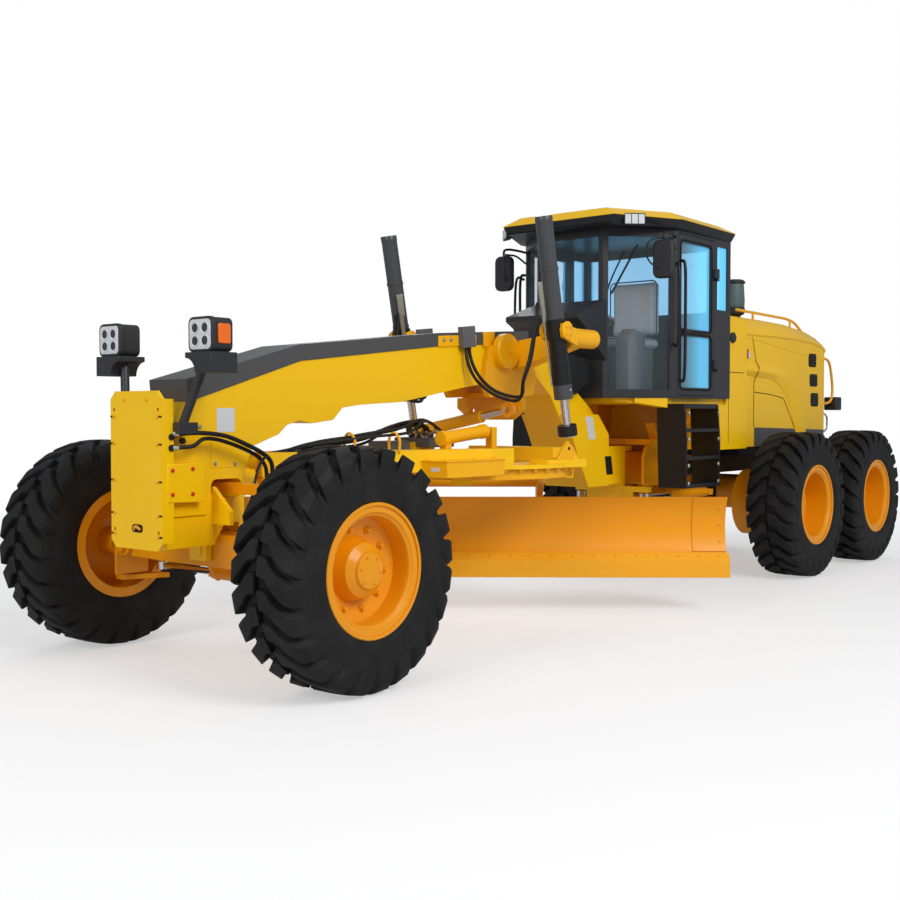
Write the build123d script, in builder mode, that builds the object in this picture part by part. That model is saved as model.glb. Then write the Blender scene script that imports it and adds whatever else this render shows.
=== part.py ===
from build123d import *
import os
from math import atan, cos, radians, sqrt

os.makedirs("parts", exist_ok=True)

# Motor grader. Millimetres, +X forward, +Y to the machine's left, +Z up.
# The origin is on the ground, at the middle of the machine's length and width.

# Stance
FRONT_AXLE_X = 3850
TANDEM_FRONT_X = -2150
TANDEM_PITCH = 1540
TRACK = 2240
FIT = 0.3
GAP = 6

# Tyres and rims
TYRE_R = 674
TYRE_W = 440
CARCASS_R = 636
BEAD_R = 318
FLANGE_R = 372
FLANGE_Y = 200
LUG_COUNT = 18
LUG_W = 84
LUG_SKEW = 70
LUG_HALF = (LUG_W + LUG_SKEW) / 2
LUG_TOP = sqrt(TYRE_R**2 - LUG_HALF**2)
# The tyre stands on the corners of two neighbouring bars
AXLE_Z = TYRE_R * cos(radians(180 / LUG_COUNT) - atan(LUG_HALF / LUG_TOP))
HUB_BORE_R = 60
FRONT_DISC_Y = 40
DRIVEN_DISC_Y = -60

# Main frame
NOSE_X = 4400
PLATE_T = 20
PUSH_Z = 1195
PUSH_BOLTS = (410, 690)
PUSH_BOLT_R = 10.5
BEAM_HALF_W = 170
LEG_HALF_W = 220
HITCH_X = -800
REAR_X = -4420

# Front axle, wheel lean and steering
LEAN_Y = TRACK / 2 - 350
LEAN_Z = 670
KINGPIN_Y = TRACK / 2 - 200
KINGPIN_R = 24
LEAN_BAR_X = 3880
LEAN_BAR_Z = 1076
LEAN_PIN_R = 15
LEAN_PLAY = 0.8
LEAN_DROP = 20.5
TIE_ROD_X = 3650
TIE_ROD_Z = 515
STEER_ARM_Z = (434, 466)

# Drawbar, circle and blade
BALL = (3600, 0, 1100)
SWIVEL_R = 58
CIRCLE_X = 1385
CIRCLE_R = 790
CIRCLE_IN_R = 660
CIRCLE_Z = 1050
CIRCLE_T = 68
PLATE_Z = 1124
BLADE_ANGLE = 38.6
BLADE_LENGTH = 3980
BLADE_BOTTOM = 270
BLADE_TOP = 880
BLADE_SET = -46
FACE_X = 42.9
TIP_X = -231
TIP_Z = 480
ARM_Y = 560

SHIFT_X = 1260
SHIFT_FOOT_Y = -580
SHIFT_FOOT_Z = 1380
SHIFT_HEAD_Y = 290
SHIFT_HEAD_Z = 1545

# Lift cylinders
LIFT_Y = 750
LIFT_FOOT = (1160, 1420)
LIFT_TOP = (1470, 2930)
TRUNNION_Z = 2120
BARREL_R = 62
ROD_R = 32

# Cab
CAB_FRONT_X = 0
CAB_CORNER_X = -440
CAB_REAR_X = -1440
CAB_FRONT_Y = 330
CAB_HALF_W = 780
CAB_FLOOR_Z = 1650
CAB_DECK_Z = 1600
CAB_TOP_Z = 3080
CAB_WALL = 45
DOOR_FRONT_X = -470
DOOR_REAR_X = -1120
DOOR_T = 40

# Engine end
SPLIT_X = -1880
HOOD_HALF_W = 680
HOOD_REAR_X = -3980
HOOD_BOTTOM = 1200
HOOD_TOP = 2420
HOOD_WALL = 30
HOOD_HINGE = (-4010, 1230)


def outline(plane, points):
    """A closed face with straight sides on a plane."""
    with BuildSketch(plane) as sketch:
        with BuildLine():
            Polyline(*points, close=True)
        make_face()
    return sketch.sketch


def slab_y(points, y_low, y_high):
    """A plate with a side outline of (x, z) points, between two places across the machine."""
    return extrude(outline(Plane.XZ.offset(-y_high), points), amount=y_high - y_low, mode=Mode.PRIVATE)


def slab_x(points, x_low, x_high):
    """A plate with an end outline of (y, z) points, between two places along the machine."""
    return extrude(outline(Plane.YZ.offset(x_low), points), amount=x_high - x_low, mode=Mode.PRIVATE)


def slab_z(points, z_low, z_high):
    """A plate with a plan outline of (x, y) points, between two heights."""
    return extrude(outline(Plane.XY.offset(z_low), points), amount=z_high - z_low, mode=Mode.PRIVATE)


def block(x_low, x_high, y_low, y_high, z_low, z_high):
    """A rectangular block between its six faces."""
    points = [(x_low, y_low), (x_high, y_low), (x_high, y_high), (x_low, y_high)]
    return slab_z(points, z_low, z_high)


def bar(start, end, radius):
    """A round bar between two points."""
    start, end = Vector(*start), Vector(*end)
    with BuildSketch(Plane(origin=start, z_dir=end - start)) as section:
        Circle(radius)
    return extrude(section.sketch, amount=(end - start).length, mode=Mode.PRIVATE)


def mirrored(points):
    """Plan points of the left half, followed by the right half in reverse."""
    return points + [(x, -y) for x, y in reversed(points)]


def other_side(part):
    """The mirror image on the machine's other side."""
    return mirror(part, about=Plane.XZ, mode=Mode.PRIVATE)


def both_sides(part):
    """A left hand piece and its mirror image."""
    return [part, other_side(part)]


def save(builder, name):
    """Labels a finished piece and writes it."""
    builder.part.label = name
    export_step(builder.part, f"parts/{name}.step")


# Wheels
# Each wheel is drawn about the Y axis at its own centre, its outer face towards +Y.
WHEELS = (
    # name, x, side, driven
    ("front_left", FRONT_AXLE_X, 1, False),
    ("front_right", FRONT_AXLE_X, -1, False),
    ("middle_left", TANDEM_FRONT_X, 1, True),
    ("middle_right", TANDEM_FRONT_X, -1, True),
    ("rear_left", TANDEM_FRONT_X - TANDEM_PITCH, 1, True),
    ("rear_right", TANDEM_FRONT_X - TANDEM_PITCH, -1, True),
)


def revolved(points):
    """A ring from (y, r) points, turned about the Y axis."""
    face = outline(Plane.XY, [(r, y) for y, r in points])
    return revolve(face, axis=Axis.Y, mode=Mode.PRIVATE)


def lug(side):
    """One skewed tread bar, running from near the middle over the shoulder."""
    inner_y, outer_y = 18, TYRE_W / 2
    points = [
        ((LUG_SKEW - LUG_W) / 2, inner_y),
        (LUG_HALF, inner_y),
        ((LUG_W - LUG_SKEW) / 2, outer_y),
        (-LUG_HALF, outer_y),
    ]
    if side < 0:
        points = [(x, -y) for x, y in points]
    return extrude(outline(Plane.XY.offset(-LUG_TOP), points), amount=LUG_TOP - CARCASS_R + 24,
                   mode=Mode.PRIVATE)


def faceted_ring(rows):
    """A closed ring of flat faces that passes through (y, r) rows, solid to its axis."""
    sides = 2 * LUG_COUNT
    with BuildPart() as ring:
        for (y_low, r_low), (y_high, r_high) in zip(rows, rows[1:]):
            for y, r in ((y_low, r_low), (y_high, r_high)):
                with BuildSketch(Plane.XZ.offset(-y)):
                    RegularPolygon(r, sides, major_radius=True, rotation=180 / sides)
            loft()
    return ring.part


def tyre():
    """A carcass with a row of bars on each side, set half a pitch apart."""
    half = TYRE_W / 2
    clear = (BEAD_R + FIT) / cos(radians(90 / LUG_COUNT))
    with BuildPart() as carcass:
        add(faceted_ring([(-half, 490), (-half + 20, CARCASS_R - 12), (half - 20, CARCASS_R - 12),
                          (half, 490)]))
        add(faceted_ring([(-half, clear), (half, clear)]), mode=Mode.SUBTRACT)
        for end in (1, -1):
            rows = sorted([(end * (half - 55), clear), (end * (half + 1), 493)])
            add(faceted_ring(rows), mode=Mode.SUBTRACT)
        for side, start in ((1, 0), (-1, 180 / LUG_COUNT)):
            one = lug(side)
            add([one.rotate(Axis.Y, start + i * 360 / LUG_COUNT) for i in range(LUG_COUNT)])
    return carcass.part


def rim(driven):
    """A deep dished rim, with its hub."""
    disc_y = DRIVEN_DISC_Y if driven else FRONT_DISC_Y
    hub_y = disc_y + (60 if driven else 85)
    with BuildPart() as wheel:
        add(revolved([
            (-FLANGE_Y, BEAD_R - 22), (-FLANGE_Y, FLANGE_R), (-FLANGE_Y + 14, FLANGE_R),
            (-FLANGE_Y + 14, BEAD_R), (FLANGE_Y - 14, BEAD_R), (FLANGE_Y - 14, FLANGE_R),
            (FLANGE_Y, FLANGE_R), (FLANGE_Y - 3, BEAD_R), (FLANGE_Y - 27, BEAD_R - 22),
            (disc_y + 30, BEAD_R - 30), (disc_y, 180), (hub_y, 150), (hub_y + 40, 92),
            (hub_y + 40, 0), (hub_y - 45, 0), (hub_y - 45, HUB_BORE_R + FIT),
            (disc_y - 60, HUB_BORE_R + FIT), (disc_y - 60, 150), (disc_y - 10, BEAD_R - 22),
        ]))
    return wheel.part


tyre_solid = tyre()
rim_solids = {driven: rim(driven) for driven in (False, True)}
for wheel_name, wheel_x, side, driven in WHEELS:
    for piece_name, solid in (("tyre", tyre_solid), ("rim", rim_solids[driven])):
        with BuildPart() as wheel_piece:
            handed = solid if side > 0 else other_side(solid)
            add(handed.translate((wheel_x, side * TRACK / 2, AXLE_Z)))
        save(wheel_piece, f"{piece_name}_{wheel_name}")

# Front frame
# One welded beam: nose with its front plate, arched beam, and the leg down to the hitch.
BEAM_TOP = [(4183, 1584), (3301, 1850), (1953, 2000), (850, 2075)]
BEAM_OUTLINE = BEAM_TOP + [
    (560, 1960), (90, 1660), (-70, 1555), (-290, 1330), (-470, 1120),
    (-330, 1040), (170, 1110), (300, 1350), (540, 1670), (750, 1820), (950, 1800), (1666, 1709),
    (2341, 1598), (2761, 1576), (2926, 1556), (3015, 1476), (3203, 1455), (3319, 1473),
    (3418, 1446), (3489, 1389), (3700, 1320), (3800, 1080), (3800, 870), (3920, 870),
    (4000, 745), (NOSE_X - 60, 745), (NOSE_X, 830), (NOSE_X, 1584),
]
LEG_BOTTOM = BLADE_TOP + 15
LEG_OUTLINE = [
    (400, 1510), (-110, 1510), (-290, 1330), (-500, 1060), (-560, LEG_BOTTOM),
    (40, LEG_BOTTOM), (170, 1110), (300, 1350),
]
# Everything of the hitch that hangs below the blade's top stands behind the blade's sweep
HITCH_FRONT_X = HITCH_X + 155
HITCH_LOW_Z = 820
ARTIC_Z = HITCH_LOW_Z - 38
ARTIC_EYE = (HITCH_X + 95, 330)
AXLE_PIN_Z = 700
AXLE_PIN_R = 40
EAR_GAP = 10
HITCH_PIN_R = 62
with BuildPart() as front_frame:
    add(slab_y(BEAM_OUTLINE, -BEAM_HALF_W, BEAM_HALF_W))
    add(slab_y(LEG_OUTLINE, -LEG_HALF_W, LEG_HALF_W))
    # The leg narrows where it enters the hitch, so that it can swing there
    for cut in both_sides(slab_z([(-700, 140), (-360, 140), (-280, LEG_HALF_W + 1), (-700, LEG_HALF_W + 1)],
                                 700, 1350)):
        add(cut, mode=Mode.SUBTRACT)
    # The neck behind the leg, with the upper and lower hinge plates of the hitch
    add(block(HITCH_FRONT_X - 40, -300, -140, 140, LEG_BOTTOM, 1230))
    add(block(HITCH_FRONT_X - 40, HITCH_FRONT_X, -140, 140, HITCH_LOW_Z, 1230))
    for z_low in (HITCH_LOW_Z, 1180):
        with BuildSketch(Plane.XY.offset(z_low)) as hinge_plate:
            with BuildLine():
                Polyline((HITCH_FRONT_X - 5, 135), (HITCH_X, 120))
                ThreePointArc((HITCH_X, 120), (HITCH_X - 120, 0), (HITCH_X, -120))
                Polyline((HITCH_X, -120), (HITCH_FRONT_X - 5, -135), (HITCH_FRONT_X - 5, 135))
            make_face()
        extrude(amount=50)
    with Locations((HITCH_X, 0, HITCH_LOW_Z)):
        Cylinder(HITCH_PIN_R, 1230 - HITCH_LOW_Z, align=(Align.CENTER, Align.CENTER, Align.MIN))
    # Ears for the articulation cylinders' rod eyes, either side of the hinge plate
    eye_x, eye_y = ARTIC_EYE
    for z_low, z_high in ((HITCH_LOW_Z, HITCH_LOW_Z + 50), (ARTIC_Z - 60, ARTIC_Z - 38)):
        for ear in both_sides(slab_z([
                (HITCH_FRONT_X - 5, 0), (HITCH_FRONT_X - 5, eye_y + 15), (eye_x + 30, eye_y + 50),
                (eye_x - 30, eye_y + 50), (eye_x - 50, eye_y + 15), (eye_x - 50, 110), (eye_x - 30, 0)],
                z_low, z_high)):
            add(ear)
    add(block(HITCH_FRONT_X - 27, HITCH_FRONT_X - 5, -240, 240, ARTIC_Z - 60, HITCH_LOW_Z + 10))
    # Front plate, with a slot near its foot
    with BuildSketch(Plane.YZ.offset(NOSE_X)) as front_plate:
        with Locations((0, 1195)):
            Rectangle(480, 900)
        chamfer(front_plate.vertices(), 45)
        with Locations((0, 860)):
            SlotOverall(70, 26, mode=Mode.SUBTRACT)
    extrude(amount=PLATE_T)
    for y_low, y_high in ((BEAM_HALF_W, 240), (-240, -BEAM_HALF_W)):
        add(block(NOSE_X - 60, NOSE_X, y_low, y_high, 790, 1600))
    # Bolt holes for a push plate
    with Locations(Plane.YZ.offset(NOSE_X - 61)):
        with Locations((0, PUSH_Z)):
            with GridLocations(PUSH_BOLTS[0], PUSH_BOLTS[1], 2, 2):
                Cylinder(PUSH_BOLT_R, PLATE_T + 62, align=(Align.CENTER, Align.CENTER, Align.MIN),
                         mode=Mode.SUBTRACT)
    # Raised overlay plates and step gussets on the nose
    for plate in both_sides(block(4060, 4340, BEAM_HALF_W, BEAM_HALF_W + 14, 930, 1330)):
        add(plate)
    for gusset in both_sides(slab_x([(BEAM_HALF_W, 870), (BEAM_HALF_W, 1090), (330, 950), (330, 870)],
                                    3985, 4015)):
        add(gusset)
    # Oblong window through the nose
    with BuildSketch(Plane.XZ.offset(-BEAM_HALF_W - 1)) as window:
        with Locations((3905, LEAN_BAR_Z)):
            RectangleRounded(230, 110, 40)
    extrude(amount=2 * BEAM_HALF_W + 2, mode=Mode.SUBTRACT)
    # Hangers under the nose and the pin that the axle rocks on
    add(slab_x([(-105, 940), (105, 940), (75, 640), (-75, 640)], FRONT_AXLE_X + 96, FRONT_AXLE_X + 136))
    add(slab_x([(-105, 1250), (105, 1250), (105, 860), (75, 640), (-75, 640), (-105, 860)],
               FRONT_AXLE_X - 136, FRONT_AXLE_X - 96))
    add(block(FRONT_AXLE_X - 100, FRONT_AXLE_X - 45, -105, 105, 880, 1000))
    add(bar((FRONT_AXLE_X - 145, 0, AXLE_PIN_Z), (FRONT_AXLE_X + 145, 0, AXLE_PIN_Z), AXLE_PIN_R))
    # Pin heads for the rod eyes of the articulation cylinders
    for z_low, z_high in ((HITCH_LOW_Z, HITCH_LOW_Z + 58), (ARTIC_Z - 80, ARTIC_Z - 38)):
        for pin in both_sides(bar((*ARTIC_EYE, z_low), (*ARTIC_EYE, z_high), 24)):
            add(pin)
    # Socket of the drawbar's swivel, open to the rear
    add(bar((BALL[0] + 200, 0, BALL[2]), (BALL[0] - 2, 0, BALL[2]), 95))
    add(bar((BALL[0], 0, BALL[2] - 100), (BALL[0], 0, BALL[2] + 100), SWIVEL_R), mode=Mode.SUBTRACT)
save(front_frame, "front_frame")

# The dark cover on top of the beam, down to the beam's upper edge
COVER_TOP = [(4196, 1715), (3317, 1952), (1953, 2096), (850, 2170)]
with BuildPart() as frame_cover:
    lower = [(x, z + FIT) for x, z in reversed(BEAM_TOP)]
    add(slab_y(COVER_TOP + lower, -BEAM_HALF_W - 6, BEAM_HALF_W + 6))
save(frame_cover, "frame_cover")

# Headlamps on posts
LAMP_Y = 520
with BuildPart() as headlamps:
    for lamp in both_sides(block(4120, 4280, LAMP_Y - 105, LAMP_Y + 105, 1860, 2050)):
        add(lamp)
    for tray in both_sides(block(4100, 4290, LAMP_Y - 110, LAMP_Y + 110, 1740, 1860)):
        add(tray)
    for post in both_sides(bar((4280, 330, 1440), (4200, LAMP_Y - 80, 1760), 26)):
        add(post)
    for foot in both_sides(block(4200, 4330, BEAM_HALF_W + FIT, 370, 1400, 1470)):
        add(foot)
save(headlamps, "headlamps")

# Lift saddle: the casting round the beam, its two arms and the bearing tubes at their ends
TRUNNION_X = LIFT_FOOT[0] + (TRUNNION_Z - LIFT_FOOT[1]) * (LIFT_TOP[0] - LIFT_FOOT[0]) / (
    LIFT_TOP[1] - LIFT_FOOT[1])
TUBE_X = (820, 1170)
TUBE_Z = TRUNNION_Z - 40
SADDLE_Y = BEAM_HALF_W + FIT
with BuildPart() as lift_saddle:
    for cheek in both_sides(slab_y(
            [(900, 2060), (1400, 2030), (1480, 1760), (1400, 1640), (850, 1660), (790, 1790)],
            SADDLE_Y, SADDLE_Y + 45)):
        add(cheek)
    for hub in both_sides(bar((1230, SADDLE_Y + 30, 1990), (1230, SADDLE_Y + 95, 1990), 125)):
        add(hub)
    for arm in both_sides(slab_x(
            [(SADDLE_Y + 40, 2070), (LIFT_Y, TUBE_Z + 60), (LIFT_Y, TUBE_Z - 60), (SADDLE_Y + 40, 1850)],
            940, 1110)):
        add(arm)
    for tube in both_sides(bar((TUBE_X[0], LIFT_Y, TUBE_Z), (TUBE_X[1], LIFT_Y, TUBE_Z), 72)):
        add(tube)
    # The link bar below the beam, with its row of lock holes and the lug of the shift cylinder
    with BuildSketch(Plane.YZ.offset(1110)) as link_plate:
        with BuildLine():
            Polyline((-300, 1640), (-300, 1560), (-180, 1470), (230, 1470), (340, 1540), (340, 1640),
                     close=True)
        make_face()
        with Locations((-150, 1540), (-60, 1520), (40, 1520), (130, 1530)):
            Circle(24, mode=Mode.SUBTRACT)
    extrude(amount=45)
    add(block(1000, 1200, -SADDLE_Y - 45, SADDLE_Y + 45, 1640, 1680))
    add(bar((1140, SHIFT_HEAD_Y, SHIFT_HEAD_Z), (1190, SHIFT_HEAD_Y, SHIFT_HEAD_Z), 40))
save(lift_saddle, "lift_saddle")

# Lift cylinders: a fork that swings on the bearing tube, a barrel on trunnions and its rod
FORK_GAP = BARREL_R + 8


def lift_point(z):
    """The place on the cylinder's centre line at a height."""
    share = (z - LIFT_FOOT[1]) / (LIFT_TOP[1] - LIFT_FOOT[1])
    return (LIFT_FOOT[0] + share * (LIFT_TOP[0] - LIFT_FOOT[0]), LIFT_Y, z)


def lift_fork():
    """A yoke in front of the bearing tube, open to both sides of the barrel."""
    with BuildPart() as fork:
        add(bar((TUBE_X[1] + FIT, LIFT_Y, TUBE_Z), (TUBE_X[1] + 30, LIFT_Y, TUBE_Z), 92))
        for side in (1, -1):
            low, high = sorted((LIFT_Y + side * FORK_GAP, LIFT_Y + side * (FORK_GAP + 28)))
            add(slab_y([(TUBE_X[1] + 20, TUBE_Z + 60), (TRUNNION_X + 45, TRUNNION_Z + 50),
                        (TRUNNION_X + 60, TRUNNION_Z), (TRUNNION_X + 45, TRUNNION_Z - 50),
                        (TUBE_X[1] + 20, TUBE_Z - 60)], low, high))
        add(block(TUBE_X[1] + FIT, TUBE_X[1] + 30, LIFT_Y - FORK_GAP - 28, LIFT_Y + FORK_GAP + 28,
                  TUBE_Z - 60, TUBE_Z + 60))
        add(bar((TRUNNION_X, LIFT_Y - 200, TRUNNION_Z), (TRUNNION_X, LIFT_Y + 200, TRUNNION_Z),
                30 + FIT), mode=Mode.SUBTRACT)
    return fork.part


def lift_barrel():
    """The barrel with its trunnion pins, open at the bottom for the rod."""
    with BuildPart() as barrel:
        add(bar(lift_point(1640), lift_point(LIFT_TOP[1]), BARREL_R))
        add(bar(lift_point(1628), lift_point(1733), BARREL_R + 8))
        add(bar((TRUNNION_X, LIFT_Y - FORK_GAP - 30, TRUNNION_Z),
                (TRUNNION_X, LIFT_Y + FORK_GAP + 30, TRUNNION_Z), 30))
        add(bar(lift_point(1500), lift_point(LIFT_TOP[1] - 40), ROD_R + FIT), mode=Mode.SUBTRACT)
    return barrel.part


# The bell is open below by enough for the stud to tilt in it when the drawbar is down
STUD_TOP = 1314
BELL_LOW = 1352


def lift_rod():
    """The rod with the bell that sits over the drawbar's ball."""
    with BuildPart() as rod:
        add(bar(lift_point(1420), lift_point(2560), ROD_R))
        add(bar(lift_point(BELL_LOW), lift_point(1432), 70))
        add(bar(lift_point(1300), lift_point(1410), 56), mode=Mode.SUBTRACT)
    return rod.part


for side_name, side in (("left", 1), ("right", -1)):
    for piece_name, make in (("lift_fork", lift_fork), ("lift_barrel", lift_barrel),
                             ("lift_rod", lift_rod)):
        with BuildPart() as lift_piece:
            add(make() if side > 0 else other_side(make()))
        save(lift_piece, f"{piece_name}_{side_name}")

# Front axle
# The beam carries the lean yokes at its ends, the steering cylinder behind it and the lean
# cylinder above it. Both of these have their rods on the bar that they push.
AXLE_HALF_T = 90
STEER_ROD_R = 22
with BuildPart() as front_axle:
    with BuildSketch(Plane.YZ.offset(FRONT_AXLE_X - AXLE_HALF_T)) as beam_outline:
        with BuildLine():
            Polyline((LEAN_Y, LEAN_Z + 62), (300, 800), (-300, 800), (-LEAN_Y, LEAN_Z + 62))
            ThreePointArc((-LEAN_Y, LEAN_Z + 62), (-LEAN_Y - 62, LEAN_Z), (-LEAN_Y, LEAN_Z - 62))
            Polyline((-LEAN_Y, LEAN_Z - 62), (-300, 600), (300, 600), (LEAN_Y, LEAN_Z - 62))
            ThreePointArc((LEAN_Y, LEAN_Z - 62), (LEAN_Y + 62, LEAN_Z), (LEAN_Y, LEAN_Z + 62))
        make_face()
    extrude(amount=2 * AXLE_HALF_T)
    for pin in both_sides(bar((FRONT_AXLE_X - 150, LEAN_Y, LEAN_Z), (FRONT_AXLE_X + 150, LEAN_Y, LEAN_Z),
                              34)):
        add(pin)
    for steer_lug in both_sides(slab_y([(TIE_ROD_X - 50, TIE_ROD_Z - 20), (TIE_ROD_X + 20, TIE_ROD_Z - 50),
                                        (FRONT_AXLE_X - AXLE_HALF_T + 10, 605),
                                        (FRONT_AXLE_X - AXLE_HALF_T + 10, 700),
                                        (TIE_ROD_X - 20, TIE_ROD_Z + 60)], 190, 220)):
        add(steer_lug)
    add(bar((FRONT_AXLE_X - 100, 0, AXLE_PIN_Z), (FRONT_AXLE_X + 100, 0, AXLE_PIN_Z), AXLE_PIN_R + FIT),
        mode=Mode.SUBTRACT)
    add(bar((TIE_ROD_X, -250, TIE_ROD_Z), (TIE_ROD_X, 250, TIE_ROD_Z), 45))
    add(bar((TIE_ROD_X, -260, TIE_ROD_Z), (TIE_ROD_X, 260, TIE_ROD_Z), STEER_ROD_R + FIT), mode=Mode.SUBTRACT)
save(front_axle, "front_axle")

# Lean yokes and steering knuckles
YOKE_WEB = (LEAN_Y + 68, LEAN_Y + 90)


def lean_yoke():
    """Two cheeks on the axle's pin, a web, two kingpin ears and a lug for the lean bar."""
    with BuildPart() as yoke:
        for low, high in ((-AXLE_HALF_T - GAP - 26, -AXLE_HALF_T - GAP),
                          (AXLE_HALF_T + GAP, AXLE_HALF_T + GAP + 26)):
            with BuildSketch(Plane.YZ.offset(FRONT_AXLE_X + low)) as cheek:
                with BuildLine():
                    Polyline((YOKE_WEB[1], 860), (LEAN_Y - 20, 860), (LEAN_Y - 60, LEAN_Z))
                    ThreePointArc((LEAN_Y - 60, LEAN_Z), (LEAN_Y, LEAN_Z - 60), (LEAN_Y + 50, LEAN_Z - 33))
                    Polyline((LEAN_Y + 50, LEAN_Z - 33), (YOKE_WEB[1], 520), (YOKE_WEB[1], 860))
                make_face()
                with Locations((LEAN_Y, LEAN_Z)):
                    Circle(34 + FIT, mode=Mode.SUBTRACT)
            extrude(amount=high - low)
        add(block(FRONT_AXLE_X - AXLE_HALF_T - GAP - 26, FRONT_AXLE_X + AXLE_HALF_T + GAP + 26,
                  YOKE_WEB[0], YOKE_WEB[1], 480, 860))
        for z_low in (480, 835):
            with BuildSketch(Plane.XY.offset(z_low)) as ear:
                with BuildLine():
                    Polyline((FRONT_AXLE_X + 55, YOKE_WEB[0]), (FRONT_AXLE_X + 50, KINGPIN_Y))
                    ThreePointArc((FRONT_AXLE_X + 50, KINGPIN_Y), (FRONT_AXLE_X, KINGPIN_Y + 50),
                                  (FRONT_AXLE_X - 50, KINGPIN_Y))
                    Polyline((FRONT_AXLE_X - 50, KINGPIN_Y), (FRONT_AXLE_X - 55, YOKE_WEB[0]),
                             (FRONT_AXLE_X + 55, YOKE_WEB[0]))
                make_face()
                with Locations((FRONT_AXLE_X, KINGPIN_Y)):
                    Circle(KINGPIN_R + FIT, mode=Mode.SUBTRACT)
            extrude(amount=25)
        add(block(FRONT_AXLE_X - 122, FRONT_AXLE_X + 122, LEAN_Y - 15, YOKE_WEB[1], 838, 860))
        add(slab_x([(LEAN_Y - 35, 850), (LEAN_Y + 45, 850), (LEAN_Y + 30, LEAN_BAR_Z + 30),
                    (LEAN_Y - 30, LEAN_BAR_Z + 30)], LEAN_BAR_X - 20, LEAN_BAR_X + 20))
        add(bar((LEAN_BAR_X - 52, LEAN_Y, LEAN_BAR_Z), (LEAN_BAR_X + 52, LEAN_Y, LEAN_BAR_Z), LEAN_PIN_R))
    return yoke.part


def knuckle():
    """A housing on its kingpin, the spindle into the hub and the steering arm below."""
    spindle_end = TRACK / 2 + FRONT_DISC_Y + 30
    with BuildPart() as steered:
        add(bar((FRONT_AXLE_X, KINGPIN_Y, 505 + FIT), (FRONT_AXLE_X, KINGPIN_Y, 835 - FIT), 52))
        add(bar((FRONT_AXLE_X, KINGPIN_Y, STEER_ARM_Z[0]), (FRONT_AXLE_X, KINGPIN_Y, 868), KINGPIN_R))
        add(bar((FRONT_AXLE_X, KINGPIN_Y + 20, AXLE_Z),
                (FRONT_AXLE_X, TRACK / 2 + FRONT_DISC_Y - 62, AXLE_Z), 90))
        add(bar((FRONT_AXLE_X, TRACK / 2 - 70, AXLE_Z), (FRONT_AXLE_X, spindle_end, AXLE_Z), HUB_BORE_R))
        add(slab_z([(FRONT_AXLE_X + 45, KINGPIN_Y - 30), (FRONT_AXLE_X + 45, KINGPIN_Y + 40),
                    (TIE_ROD_X - 30, LEAN_Y + 55), (TIE_ROD_X - 30, LEAN_Y - 15)], *STEER_ARM_Z))
    return steered.part


for side_name, side in (("left", 1), ("right", -1)):
    for piece_name, make in (("lean_yoke", lean_yoke), ("knuckle", knuckle)):
        with BuildPart() as axle_piece:
            add(make() if side > 0 else other_side(make()))
        save(axle_piece, f"{piece_name}_{side_name}")

# The lean bar between the yokes' lugs, and the rod through the steering cylinder
with BuildPart() as lean_bar:
    add(block(LEAN_BAR_X - 40, LEAN_BAR_X + 40, -LEAN_Y + 75, LEAN_Y - 75, LEAN_BAR_Z - 32, LEAN_BAR_Z + 32))
    for side in (1, -1):
        for x_low in (-44, 26):
            low, high = sorted((side * (LEAN_Y - 90), side * (LEAN_Y + 32)))
            add(block(LEAN_BAR_X + x_low, LEAN_BAR_X + x_low + 18, low, high, LEAN_BAR_Z - 58,
                      LEAN_BAR_Z + 36))
        # Upright slots, because the yoke's pin drops as the yoke leans
        with BuildSketch(Plane.YZ.offset(LEAN_BAR_X - 60)) as slot:
            with Locations((side * LEAN_Y, LEAN_BAR_Z - LEAN_DROP / 2)):
                SlotOverall(2 * (LEAN_PIN_R + LEAN_PLAY) + LEAN_DROP, 2 * (LEAN_PIN_R + LEAN_PLAY),
                            rotation=90)
        extrude(amount=120, mode=Mode.SUBTRACT)
save(lean_bar, "lean_bar")

with BuildPart() as tie_rod:
    add(bar((TIE_ROD_X, -LEAN_Y + 10, TIE_ROD_Z), (TIE_ROD_X, LEAN_Y - 10, TIE_ROD_Z), STEER_ROD_R))
    for side in (1, -1):
        add(bar((TIE_ROD_X, side * (LEAN_Y + 20), TIE_ROD_Z - 25),
                (TIE_ROD_X, side * (LEAN_Y + 20), TIE_ROD_Z + 25), 40))
save(tie_rod, "tie_rod")

# Drawbar
# A swivel in the nose swings sideways, and its cross pin carries the drawbar, which tilts on it.
with BuildPart() as drawbar_ball:
    add(bar((BALL[0], 0, BALL[2] - 75), (BALL[0], 0, BALL[2] + 75), SWIVEL_R - FIT))
    add(block(BALL[0] - 60, BALL[0], -48, 48, BALL[2] - 55, BALL[2] + 55))
    add(bar((BALL[0] - 60, -120, BALL[2]), (BALL[0] - 60, 120, BALL[2]), 36))
save(drawbar_ball, "drawbar_ball")

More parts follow.
